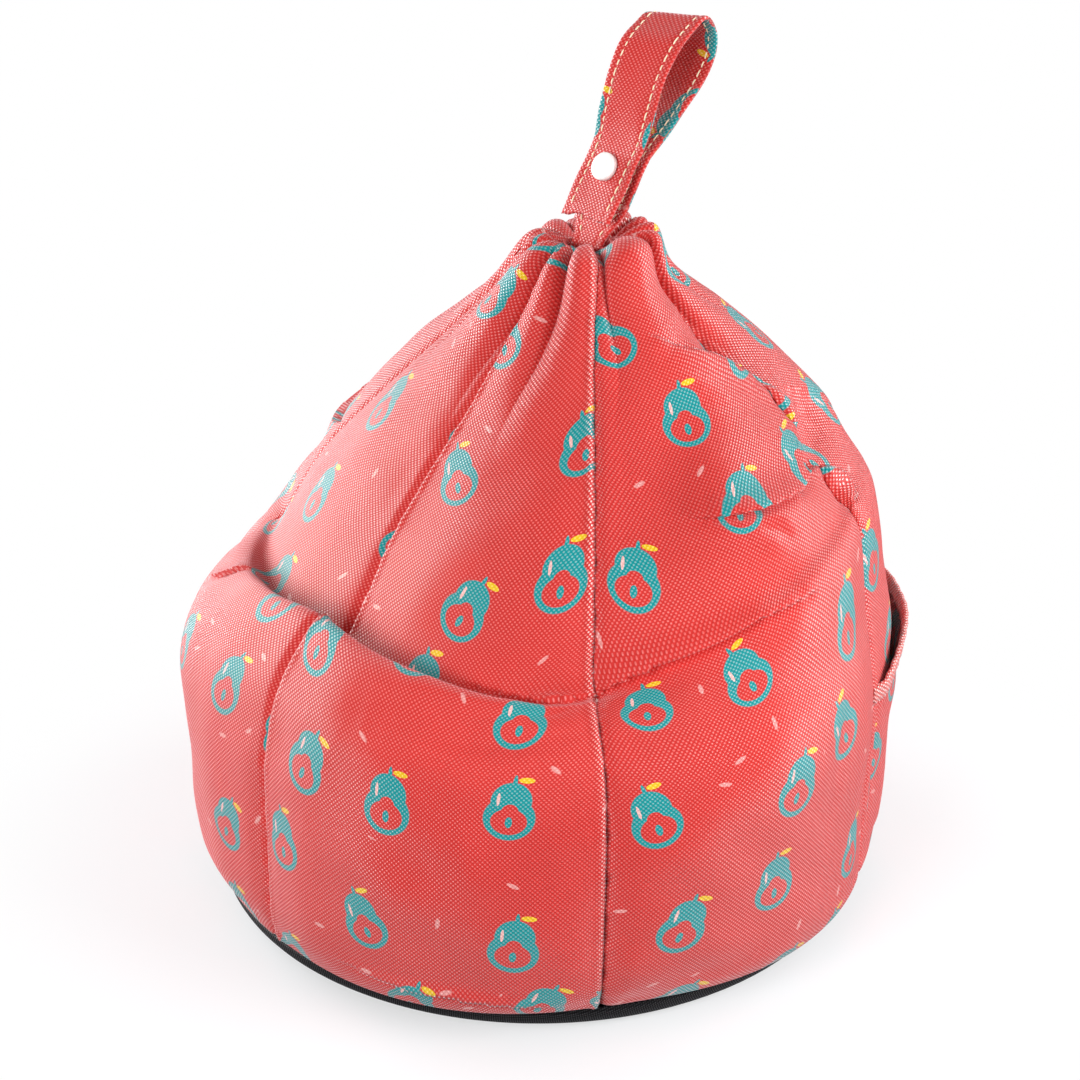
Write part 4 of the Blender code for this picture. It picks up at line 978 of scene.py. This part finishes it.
def makeBand():
    path, along = strapPath()
    centre, side, face, width = strapFrames(path)
    alongWave, acrossWave = strap["rippleWaves"]
    rows, uv = [], []
    for i in range(len(path)):
        across, through = bandSection(width[i])
        fromStitch = width[i] / 2 - np.abs(across) - strap["stitchInset"]
        wave = strap["pucker"] * np.sin(2 * math.pi * along[i] / strap["stitchPitch"])
        wave = wave * np.exp(-(fromStitch / strap["puckerWidth"]) ** 2)
        ripple = strap["ripple"] * np.sin(along[i] * alongWave + across * acrossWave)
        ripple = ripple * smoothStep(np.abs(across), strap["rippleFrom"], strap["rippleTo"])
        through = through + (wave * np.sign(through) + ripple)
        rows.append(centre[i] + np.outer(across, side[i]) + np.outer(through, face[i]))
        uv.append(np.stack([across * np.sign(through + 1e-9), np.full(len(across), along[i])], -1)
                  + strap["printShift"])
    rows, uv = np.array(rows), np.array(uv)
    ahead = centre[0] - centre[1]
    ahead /= np.linalg.norm(ahead)
    across = (rows[0] - centre[0]) @ side[0]
    notch = np.exp(-((across + strap["notchShift"]) / strap["notchWidth"]) ** 2)
    cut = (strap["cutSlant"] * across - strap["notch"] * notch
           + strap["fray"] * np.sin(across * strap["frayWave"]))
    for i in range(strap["cutRows"]):
        rows[i] += np.outer(cut, ahead) * (1 - i / strap["cutRows"])
    # a last ring on the middle line closes each end
    offset = rows[0] - centre[0]
    first = centre[0] + np.outer(offset @ side[0], side[0]) + np.outer(offset @ ahead, ahead)
    last = centre[-1] + np.outer((rows[-1] - centre[-1]) @ side[-1], side[-1])
    rows = np.concatenate([first[None], rows, last[None]])
    uv = np.concatenate([uv[:1], uv, uv[-1:]])
    band = makeGridPiece("strap_band", placeStrap(rows), uv, clothMaterial, closed=True,
                         bodyName=None)
    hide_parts("strap_back_leg", "strap_front_leg")
    return band, path, along


# bakes the piece's placement into its mesh
def blendAtCrown(piece):
    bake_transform(piece)


# sewing thread: spun polyester, a little glossy, with its ply shown as diagonal bands, the darker
# ones painted shade in the grooves between the plies
def makeThreadMaterial(name, light, dark):
    material, tree, shader, place = newMaterial(name)
    plyGrooveShade = addNode(tree, "ShaderNodeTexWave", {"bands_direction": "DIAGONAL"},
                  {"Vector": place, "Scale": 900.0, "Distortion": 2.0})
    # painted shade: the darker bands lie along the grooves between the plies
    tone = addNode(tree, "ShaderNodeMix", {"data_type": "RGBA"},
                   {"Factor": plyGrooveShade.outputs["Fac"], "A": linearColour(dark),
                    "B": linearColour(light)})
    setInputs(tree, shader, {"Base Color": tone.outputs["Result"], "Roughness": 0.45,
                             "Sheen Weight": 0.3})
    return material


creamThread = makeThreadMaterial("creamThread", "#FFF4DA", "#E8D0A2")
blackThread = makeThreadMaterial("blackThread", "#26262A", "#101012")

# a stitch goes by shares of its length, its rise and its size in thread radii
stitchRings = ((0.0, -0.9, 0.75), (0.14, 0.35, 1.0), (0.5, 0.75, 1.05), (0.86, 0.35, 1.0),
               (1.0, -0.9, 0.75))


# rings of vertices joined into a closed tube
def closeTube(mesh, rings):
    sides = len(rings[0])
    for lower, upper in zip(rings, rings[1:]):
        for k in range(sides):
            mesh.faces.new((lower[k], lower[(k + 1) % sides], upper[(k + 1) % sides], upper[k]))
    mesh.faces.new(rings[0][::-1])
    mesh.faces.new(rings[-1])


# one stitch: a six-sided thread that dives into the cloth at both ends
def addStitch(mesh, start, end, outward, radius):
    side = (end - start).normalized().cross(outward).normalized()
    turns = [math.pi / 3 * k for k in range(6)]
    rings = []
    for share, lift, size in stitchRings:
        middle = start.lerp(end, share) + outward * radius * lift
        rings.append([mesh.verts.new(middle + (side * math.cos(a) + outward * math.sin(a))
                                     * radius * size) for a in turns])
    closeTube(mesh, rings)


def makeTopstitch(path, along):
    centre, side, face, width = strapFrames(path)
    mesh = bmesh.new()
    first, last = along[strap["firstStitchRow"]], along[-strap["lastStitchRow"]]
    pitch = strap["stitchPitch"]
    surface = strap["thickness"] / 2 - strap["dip"] + strap["threadRise"]
    for edge in (-1, 1):
        for front in (-1, 1):
            for k in range(int((last - first) / pitch)):
                ends = []
                for distance in (k * pitch, k * pitch + strap["stitchLength"]):
                    i = int(np.searchsorted(along, first + distance))
                    inset = edge * (width[i] / 2 - strap["stitchInset"])
                    ends.append(Vector(placeStrap(centre[i] + side[i] * inset
                                                  + face[i] * front * surface)))
                i = int(np.searchsorted(along, first + (k + strap["stitchMiddle"]) * pitch))
                foot, tip = (Vector(placeStrap(centre[i] + face[i] * lift)) for lift in (0, front))
                addStitch(mesh, ends[0], ends[1], (tip - foot).normalized(), strap["threadRadius"])
    roundOff(mesh)
    return finishPiece("strap_topstitch", mesh, creamThread, None)


band, bandPath, bandAlong = makeBand()
blendAtCrown(band)
topstitch = makeTopstitch(bandPath, bandAlong)
blendAtCrown(topstitch)
print("strap made")


# Press stud: moulded resin, smooth and glossy, with a faint haze in its gloss

def makeResinMaterial():
    material, tree, shader, place = newMaterial("mouldedResin")
    haze = addNode(tree, "ShaderNodeTexNoise", None,
                   {"Vector": place, "Scale": 260.0, "Detail": 3.0})
    gloss = addNode(tree, "ShaderNodeMapRange", None,
                    {"Value": haze.outputs["Fac"], "To Min": 0.12, "To Max": 0.26})
    setInputs(tree, shader, {"Base Color": linearColour("#F3F1EE"),
                             "Roughness": gloss.outputs[0], "Coat Weight": 0.3,
                             "Subsurface Weight": 0.15,
                             "Subsurface Radius": (0.001, 0.001, 0.001)})
    return material


resin = makeResinMaterial()


# from a stud's own frame at a point of the strap's middle line, whose Z is its axis, to the
# shared frame
def studPlace(point):
    lean = strap["sideLean"] * frontSnap[1] / strap["height"]
    origin = placeStrap((lean, *point))
    axis = Vector(placeStrap((lean, *(point + snapOut))) - origin)
    side = Vector(placeStrap((lean + 1, *point)) - origin)
    place = Matrix((side, axis.cross(side), axis)).transposed().to_4x4()
    place.translation = Vector(origin)
    return place


# a turned piece from a profile of (radius, height), which ends on its axis or is a closed ring
def makeSpun(name, profile, place, material, bodyName, segments=48):
    mesh = bmesh.new()
    corners = [mesh.verts.new((radius, 0, height)) for radius, height in profile]
    edges = [mesh.edges.new(pair) for pair in zip(corners, corners[1:])]
    if profile[0][0] > 0:
        edges.append(mesh.edges.new((corners[-1], corners[0])))
    bmesh.ops.spin(mesh, geom=corners + edges, cent=(0, 0, 0), axis=(0, 0, 1), dvec=(0, 0, 0),
                   angle=2 * math.pi, steps=segments, use_merge=True)
    bmesh.ops.remove_doubles(mesh, verts=mesh.verts, dist=0.000005)
    roundOff(mesh)
    mesh.transform(place)
    return finishPiece(name, mesh, material, bodyName)


stud = {
    "face": 0.0012, "cap": 0.0054, "capRise": 0.0026, "capRound": 0.0007, "post": 0.0012,
    "ring": 0.0047, "socket": 0.0024, "socketFloor": 0.0006, "knob": 0.0021, "flange": 0.0008,
    "back": 0.0016, "hole": 0.0015, "rim": 0.0003, "chamfer": 0.0002, "boreDeep": 0.0008,
    "skirt": 0.0007, "skirtShare": 0.8, "knobFoot": 0.0004, "backFlat": 0.55, "backSwell": 0.00005,
    # the cap's dished top as (radius, rise)
    "dish": ((0.0038, 0.00005), (0.0033, -0.00008), (0.0027, -0.00006), (0.0012, 0.00008),
             (0.0, 0.0001)),
    # the knob as (width over its plain radius, drop from its tip)
    "knobTip": ((-0.0002, 0.0012), (0.0, 0.0007), (-0.0002, 0.0002), (-0.0006, 0.0)),
}


def arcPoints(centreRadius, centreHeight, size, first, last, count=6):
    return [(centreRadius + size * math.cos(a), centreHeight + size * math.sin(a))
            for a in np.radians(np.linspace(first, last, count))]


def makeStud():
    front, back = studPlace(frontSnap), studPlace(backSnap)
    face, size, bend, rim = stud["face"], stud["cap"], stud["capRound"], stud["rim"]
    post, hole, ring, knob = stud["post"], stud["hole"], stud["ring"], stud["knob"]
    chamfer, top = stud["chamfer"], face + stud["capRise"]
    cap = [(0, -face), (post, -face), (post, face), (size - rim, face), (size, face + rim)]
    cap += arcPoints(size - bend, top - bend, bend, 0, 80)
    cap += [(radius, top + rise) for radius, rise in stud["dish"]]

    mouth, floor, bore = -face - stud["socket"], -face - stud["socketFloor"], knob + rim
    socket = [(hole, -face), (hole, floor), (bore + rim, floor),
              (bore + rim, floor - stud["boreDeep"]), (bore, mouth + chamfer),
              (bore + chamfer, mouth)]
    socket += arcPoints(ring * stud["skirtShare"], mouth + rim, rim, -90, -20, 4)
    socket += [(ring, mouth + stud["skirt"]), (ring, -face)]

    flange = face + stud["flange"]
    tip = strap["snapSpacing"] + floor - rim
    knobShape = [(hole, face), (ring, face), (ring, flange - chamfer), (ring - chamfer, flange),
                 (knob + stud["knobFoot"], flange), (knob - rim, flange + rim)]
    knobShape += [(knob + wider, tip - drop) for wider, drop in stud["knobTip"]] + [(hole, tip)]

    low = -face - stud["back"]
    capBack = [(0, low), (size * stud["backFlat"], low + stud["backSwell"])]
    capBack += arcPoints(size - bend, low + bend, bend, -80, 0)
    capBack += [(size, -face), (post, -face), (post, flange), (0, flange)]
    for node, profile, place, bodyName in (("snap_cap_front", cap, front, "strap_end"),
                                           ("snap_socket", socket, front, "strap_end"),
                                           ("snap_stud", knobShape, back, "strap"),
                                           ("snap_cap_back", capBack, back, "strap")):
        piece = makeSpun(node + "_moulded", profile, place, resin, bodyName)
        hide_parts(node)


makeStud()
print("press stud made")


# Neck binding: a narrow tape of the printed cloth, turned round the gathered edge

binding = {"outer": 0.0097, "inner": 0.0087, "low": -0.0060, "wall": 0.00035, "segments": 72}


def makeBinding():
    outer, inner, low, wall = (binding[size] for size in ("outer", "inner", "low", "wall"))
    middle, bend = (outer + inner) / 2, (outer - inner) / 2
    profile = [(inner, low), (inner + wall, low)] + arcPoints(middle, -bend, bend - wall, 180, 0, 4)
    profile += [(outer - wall, low), (outer, low)] + arcPoints(middle, -bend, bend, 0, 180)
    place = Matrix.Translation((0, strap["neckShift"], strap["neckHeight"]))
    piece = makeSpun("neck_binding_tape", profile, place, clothMaterial, "cushion",
                     binding["segments"])
    uvLayer = piece.data.uv_layers.new(name="uv")
    for loop in piece.data.loops:
        spot = piece.data.vertices[loop.vertex_index].co
        around = math.atan2(spot.x, spot.y - strap["neckShift"]) * outer
        uvLayer.data[loop.index].uv = (around, spot.z)
    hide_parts("neck_binding")


makeBinding()
print("binding made")


# Base: a disc of black woven cloth, turned up round its edge to the seam, with a slot for the zip

base = {
    "seamRadius": 0.1306, "roll": 0.0095, "top": 0.0102, "thickness": 0.0012,
    "slotLength": 0.0850, "slotWidth": 0.00475, "slotBack": 0.0450,
    "lip": 0.0007, "lipWidth": 0.0045, "stitchHeight": 0.00065,
    # columns at the slot's back, one end and front, and the degrees of the rim they run out to
    "backColumns": 70, "endColumns": 16, "frontColumns": 110,
    "rimDegrees": (33, 147, 200, 340, 393),
    "flatRows": 26, "flatPower": 1.5, "rollRows": 9, "uvRise": 4,
    "stitchInset": 0.0024, "stitchPitch": 0.0030, "stitchLength": 0.0022, "threadRadius": 0.00022,
}


# points round the zip's slot, grown outward by a distance, anticlockwise seen from above
def slotLoop(grow):
    half, end = base["slotLength"], base["slotWidth"] + grow
    back = np.linspace(half, -half, base["backColumns"], endpoint=False)
    front = np.linspace(-half, half, base["frontColumns"], endpoint=False)
    left = np.radians(np.linspace(90, 270, base["endColumns"], endpoint=False))
    right = np.radians(np.linspace(-90, 90, base["endColumns"], endpoint=False))
    loop = [(x, end) for x in back]
    loop += [(-half + end * math.cos(a), end * math.sin(a)) for a in left]
    loop += [(x, -end) for x in front]
    loop += [(half + end * math.cos(a), end * math.sin(a)) for a in right]
    return np.array(loop + loop[:1]) + (0, base["slotBack"])


def makeBaseStitches():
    mesh = bmesh.new()
    path = slotLoop(base["stitchInset"])
    lengths = runAlong(path)
    for start in np.arange(0, lengths[-1] - base["stitchPitch"], base["stitchPitch"]):
        ends = [Vector((np.interp(at, lengths, path[:, 0]), np.interp(at, lengths, path[:, 1]),
                        base["stitchHeight"]))
                for at in (start, start + base["stitchLength"])]
        addStitch(mesh, ends[0], ends[1], Vector((0, 0, -1)), base["threadRadius"])
    bmesh.ops.recalc_face_normals(mesh, faces=mesh.faces)
    return finishPiece("base_topstitch", mesh, blackThread)


def makeBase():
    roll, flat = base["roll"], base["seamRadius"] - base["roll"]
    slot = slotLoop(0.0)
    counts = [base[part] for part in ("backColumns", "endColumns", "frontColumns", "endColumns")]
    marks = base["rimDegrees"]
    spans = [np.linspace(low, high, count, endpoint=False)
             for low, high, count in zip(marks, marks[1:], counts)]
    angles = np.radians(np.concatenate(spans + [marks[-1:]]))
    outward = np.stack([np.cos(angles), np.sin(angles)], -1)
    rows = []
    for share in np.linspace(0, 1, base["flatRows"]) ** base["flatPower"]:
        spot = slot * (1 - share) + flat * outward * share
        away = np.linalg.norm(spot - slot, axis=1)
        rise = base["lip"] * (1 - smoothStep(away, 0.0, base["lipWidth"]))
        rows.append(np.column_stack([spot, rise]))
    for turn in np.radians(np.linspace(0, 90, base["rollRows"])[1:]):
        height = base["top"] - base["top"] * math.cos(turn)
        rows.append(np.column_stack([(flat + roll * math.sin(turn)) * outward,
                                     np.full(len(angles), height)]))
    points = np.array(rows)
    uv = points[..., :2] * (1 + points[..., 2:] * base["uvRise"])
    piece = makeGridPiece("base_panel_cloth", points, uv, baseMaterial, closed=True)
    addWall(piece, base["thickness"], 1.0 if piece.data.polygons[0].normal.z > 0 else -1.0)
    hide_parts("base_panel")
    stitching = makeBaseStitches()


# Zip: woven tapes, a spiral nylon coil on each, and a slider and stops of black enamelled metal

zipper = {
    "tapeReach": 0.0905, "tapeInner": 0.00055, "tapeOuter": 0.01155, "tapeLow": 0.0019,
    "tapeThickness": 0.0005, "tapeColumns": 60, "tapeRows": 8,
    "coilReach": 0.0827, "coilMiddle": 0.00165, "coilHeight": 0.00315, "coilPitch": 0.0014,
    "coilWide": 0.0009, "coilTall": 0.00025, "coilStagger": 0.25,
    "wireRadius": 0.0002, "wireSides": 5, "turnSteps": 10,
}


# nylon monofilament, black, with a smooth gloss
def makeCoilMaterial():
    material, tree, shader, place = newMaterial("nylonCoil")
    wear = addNode(tree, "ShaderNodeTexNoise", None,
                   {"Vector": place, "Scale": 400.0, "Detail": 2.0})
    tone = addNode(tree, "ShaderNodeMix", {"data_type": "RGBA"},
                   {"Factor": wear.outputs["Fac"], "A": linearColour("#0C0C0E"),
                    "B": linearColour("#1E1E22")})
    setInputs(tree, shader, {"Base Color": tone.outputs["Result"], "Roughness": 0.32})
    return material


# black enamel on zinc, rubbed a little paler where it is handled
def makeEnamelMaterial():
    material, tree, shader, place = newMaterial("blackEnamel")
    rub = addNode(tree, "ShaderNodeTexNoise", None,
                  {"Vector": place, "Scale": 700.0, "Detail": 4.0}).outputs["Fac"]
    share = addNode(tree, "ShaderNodeMapRange", {"interpolation_type": "SMOOTHSTEP"},
                    {"Value": rub, "From Min": 0.58, "From Max": 0.78, "To Max": 0.6})
    tone = addNode(tree, "ShaderNodeMix", {"data_type": "RGBA"},
                   {"Factor": share.outputs[0], "A": linearColour("#101012"),
                    "B": linearColour("#4A4A4E")})
    gloss = addNode(tree, "ShaderNodeMapRange", None,
                    {"Value": rub, "To Min": 0.22, "To Max": 0.45})
    setInputs(tree, shader, {"Base Color": tone.outputs["Result"],
                             "Roughness": gloss.outputs[0], "Coat Weight": 0.4})
    return material


# a wire of a few sides along a path, closed at both ends
def sweepWire(mesh, path, radius, sides):
    ahead = np.gradient(path, axis=0)
    ahead /= np.linalg.norm(ahead, axis=1, keepdims=True)
    turns = [2 * math.pi * k / sides for k in range(sides)]
    rings = []
    for point, direction in zip(path, ahead):
        across = np.cross(direction, (1.0, 0.0, 0.0))
        across /= np.linalg.norm(across)
        other = np.cross(direction, across)
        rings.append([mesh.verts.new(point + radius * (across * math.cos(a) + other * math.sin(a)))
                      for a in turns])
    closeTube(mesh, rings)


def makeTape(side, word):
    x = np.linspace(-zipper["tapeReach"], zipper["tapeReach"], zipper["tapeColumns"] + 1)
    away = np.linspace(zipper["tapeInner"], zipper["tapeOuter"], zipper["tapeRows"] + 1)
    height = zipper["tapeLow"] + zipper["tapeThickness"]
    points = np.stack(np.broadcast_arrays(x, base["slotBack"] + side * away[:, None], height), -1)
    tape = makeGridPiece("zip_tape_" + word + "_woven", points, points[..., :2], tapeMaterial)
    addWall(tape, zipper["tapeThickness"], -1.0 if tape.data.polygons[0].normal.z > 0 else 1.0)
    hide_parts("zip_tape_" + word)


def makeCoil(side, word, material):
    pitch = zipper["coilPitch"]
    turns = int(2 * zipper["coilReach"] / pitch) - 1
    turn = np.arange(turns * zipper["turnSteps"] + 1) * 2 * math.pi / zipper["turnSteps"]
    x = -turns * pitch / 2 + side * zipper["coilStagger"] * pitch + turn / (2 * math.pi) * pitch
    y = base["slotBack"] + side * (zipper["coilMiddle"] + zipper["coilWide"] * np.cos(turn))
    z = zipper["coilHeight"] + zipper["coilTall"] * np.sin(turn)
    mesh = bmesh.new()
    sweepWire(mesh, np.stack([x, y, z], -1), zipper["wireRadius"], zipper["wireSides"])
    roundOff(mesh)
    coil = finishPiece("zip_coil_" + word + "_spiral", mesh, material)
    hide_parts("zip_coil_" + word)


def makeZip():
    coilMaterial, enamel = makeCoilMaterial(), makeEnamelMaterial()
    for side, word in ((-1, "front"), (1, "back")):
        makeTape(side, word)
        makeCoil(side, word, coilMaterial)
    for name in ("zip_stop_left", "zip_stop_right", "zip_slider"):
        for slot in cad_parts[name].material_slots:
            slot.material = enamel


makeBase()
makeZip()
print("base and zip made")


# Side pocket: the same cloth, sewn in at the gore's seams and along its foot. Its mouth gapes and
# is bound with a strip folded over it, which shows the pale reverse of the cloth.

pocket = {
    "gore": 2, "foot": 2.0, "wall": 3.0, "widest": 4.0, "shoulder": 5.0, "lowRow": 0.3,   # levels
    "mouthShares": (0.700, 0.785, 0.830, 0.845, 0.850, 0.845, 0.830), "mouthPasses": 3,
    "rowShares": (0.0, 0.1, 0.45, 1.0), "rowPasses": 4,
    "gape": 0.0060, "edgeGape": 0.0012, "gap": 0.0004, "inset": 0.0012, "edgeDip": 0.0004,
    "sewnSide": 0.05, "sewnFoot": 0.12, "sag": 0.0007, "sagSize": 0.024, "sagSeed": 21,
    "thickness": 0.0008, "columns": 72, "rows": 70, "printShift": (0.411, 0.303),
    "hemOver": 0.0024, "hemDeep": 0.0044, "hemHalf": 0.0010, "hemWall": 0.0004,
    "hemRipple": 0.00018, "hemWaves": (900, 300),
}


def makePocketPanel():
    across = np.linspace(0, 1, pocket["columns"] + 1)
    climb = np.linspace(0, 3, pocket["rows"] + 1)
    edge = pocket["inset"] / (cover["radius"] * goreWidth)
    angles = goreWidth * (pocket["gore"] + edge + (1 - 2 * edge) * across)
    station = np.linspace(0, 1, len(pocket["mouthShares"]))
    shares = np.interp(across, station, pocket["mouthShares"])
    evenOut(shares, pocket["mouthPasses"])
    mouth = pocket["foot"] + (pocket["shoulder"] - pocket["foot"]) * shares
    below = np.minimum(pocket["widest"], mouth - pocket["lowRow"])
    marks = np.array([np.full_like(mouth, pocket["foot"]), np.full_like(mouth, pocket["wall"]),
                      below, mouth])
    levels = np.array([np.interp(climb, range(4), marks[:, k]) for k in range(len(across))]).T
    rowShare = np.interp(climb, range(4), pocket["rowShares"])
    evenOut(rowShare, pocket["rowPasses"])
    arch = np.sin(np.pi * across)
    gape = pocket["edgeGape"] + (pocket["gape"] - pocket["edgeGape"]) * arch
    sewn = np.outer(smoothStep(climb, 0.0, pocket["sewnFoot"]),
                    smoothStep(np.minimum(across, 1 - across), 0.0, pocket["sewnSide"]))
    proud = (pocket["gap"] + pocket["thickness"] + np.outer(rowShare, gape)) * sewn
    angle, level = np.broadcast_to(angles, levels.shape).ravel(), levels.ravel()
    plain = smoothCover(angle, level)
    sag = pocket["sag"] * wrinkleNoise(plain, pocket["sagSize"], pocket["sagSeed"])
    sag = sag * np.outer(np.sin(np.pi * climb / 3), arch).ravel()
    lift = formMoves(angle, level, plain)[0] - pocket["edgeDip"] + proud.ravel() + sag
    points = (plain + coverNormals(angle, level) * lift[:, None]).reshape(*levels.shape, 3)
    stepsAcross = np.linalg.norm(np.diff(points, axis=1), axis=2)
    stepsUp = np.linalg.norm(np.diff(points, axis=0), axis=2)
    u, v = addUp(stepsAcross, axis=1), addUp(stepsUp)
    uv = np.stack([u, v], -1) + pocket["printShift"]
    panel = makeGridPiece("pocket_panel_cloth", points, uv, clothMaterial)
    addWall(panel, pocket["thickness"])
    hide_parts("pocket_panel")
    return points


# the strip folded over the mouth, from the panel's rows of points
def makePocketHem(points):
    mouth, upward = points[-1], points[-1] - points[-4]
    outward = np.cross(np.gradient(mouth, axis=0), upward)
    outward /= np.linalg.norm(outward, axis=1, keepdims=True)
    upward /= np.linalg.norm(upward, axis=1, keepdims=True)
    middle = mouth - outward * pocket["thickness"] / 2
    half, deep, over = pocket["hemHalf"], pocket["hemDeep"], pocket["hemOver"]
    profile = [(half, -deep), (half, -deep / 2), (half, 0.0)]
    profile += arcPoints(0.0, over - half, half, 0, 180, 7)
    profile += [(-half, 0.0), (-half, -deep / 2), (-half, -deep)]
    along, run = runAlong(mouth), runAlong(np.array(profile))
    alongWave, upWave = pocket["hemWaves"]
    rows = []
    for out, up in profile:
        ripple = pocket["hemRipple"] * np.sin(along * alongWave + up * upWave)
        rows.append(middle + outward * (out + ripple[:, None]) + upward * up)
    uv = np.stack(np.broadcast_arrays(along[None], run[:, None]), -1)
    hem = makeGridPiece("pocket_hem_fold", np.array(rows), uv, reverseMaterial)
    addWall(hem, pocket["hemWall"])
    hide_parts("pocket_hem")


makePocketHem(makePocketPanel())
print("pocket made")
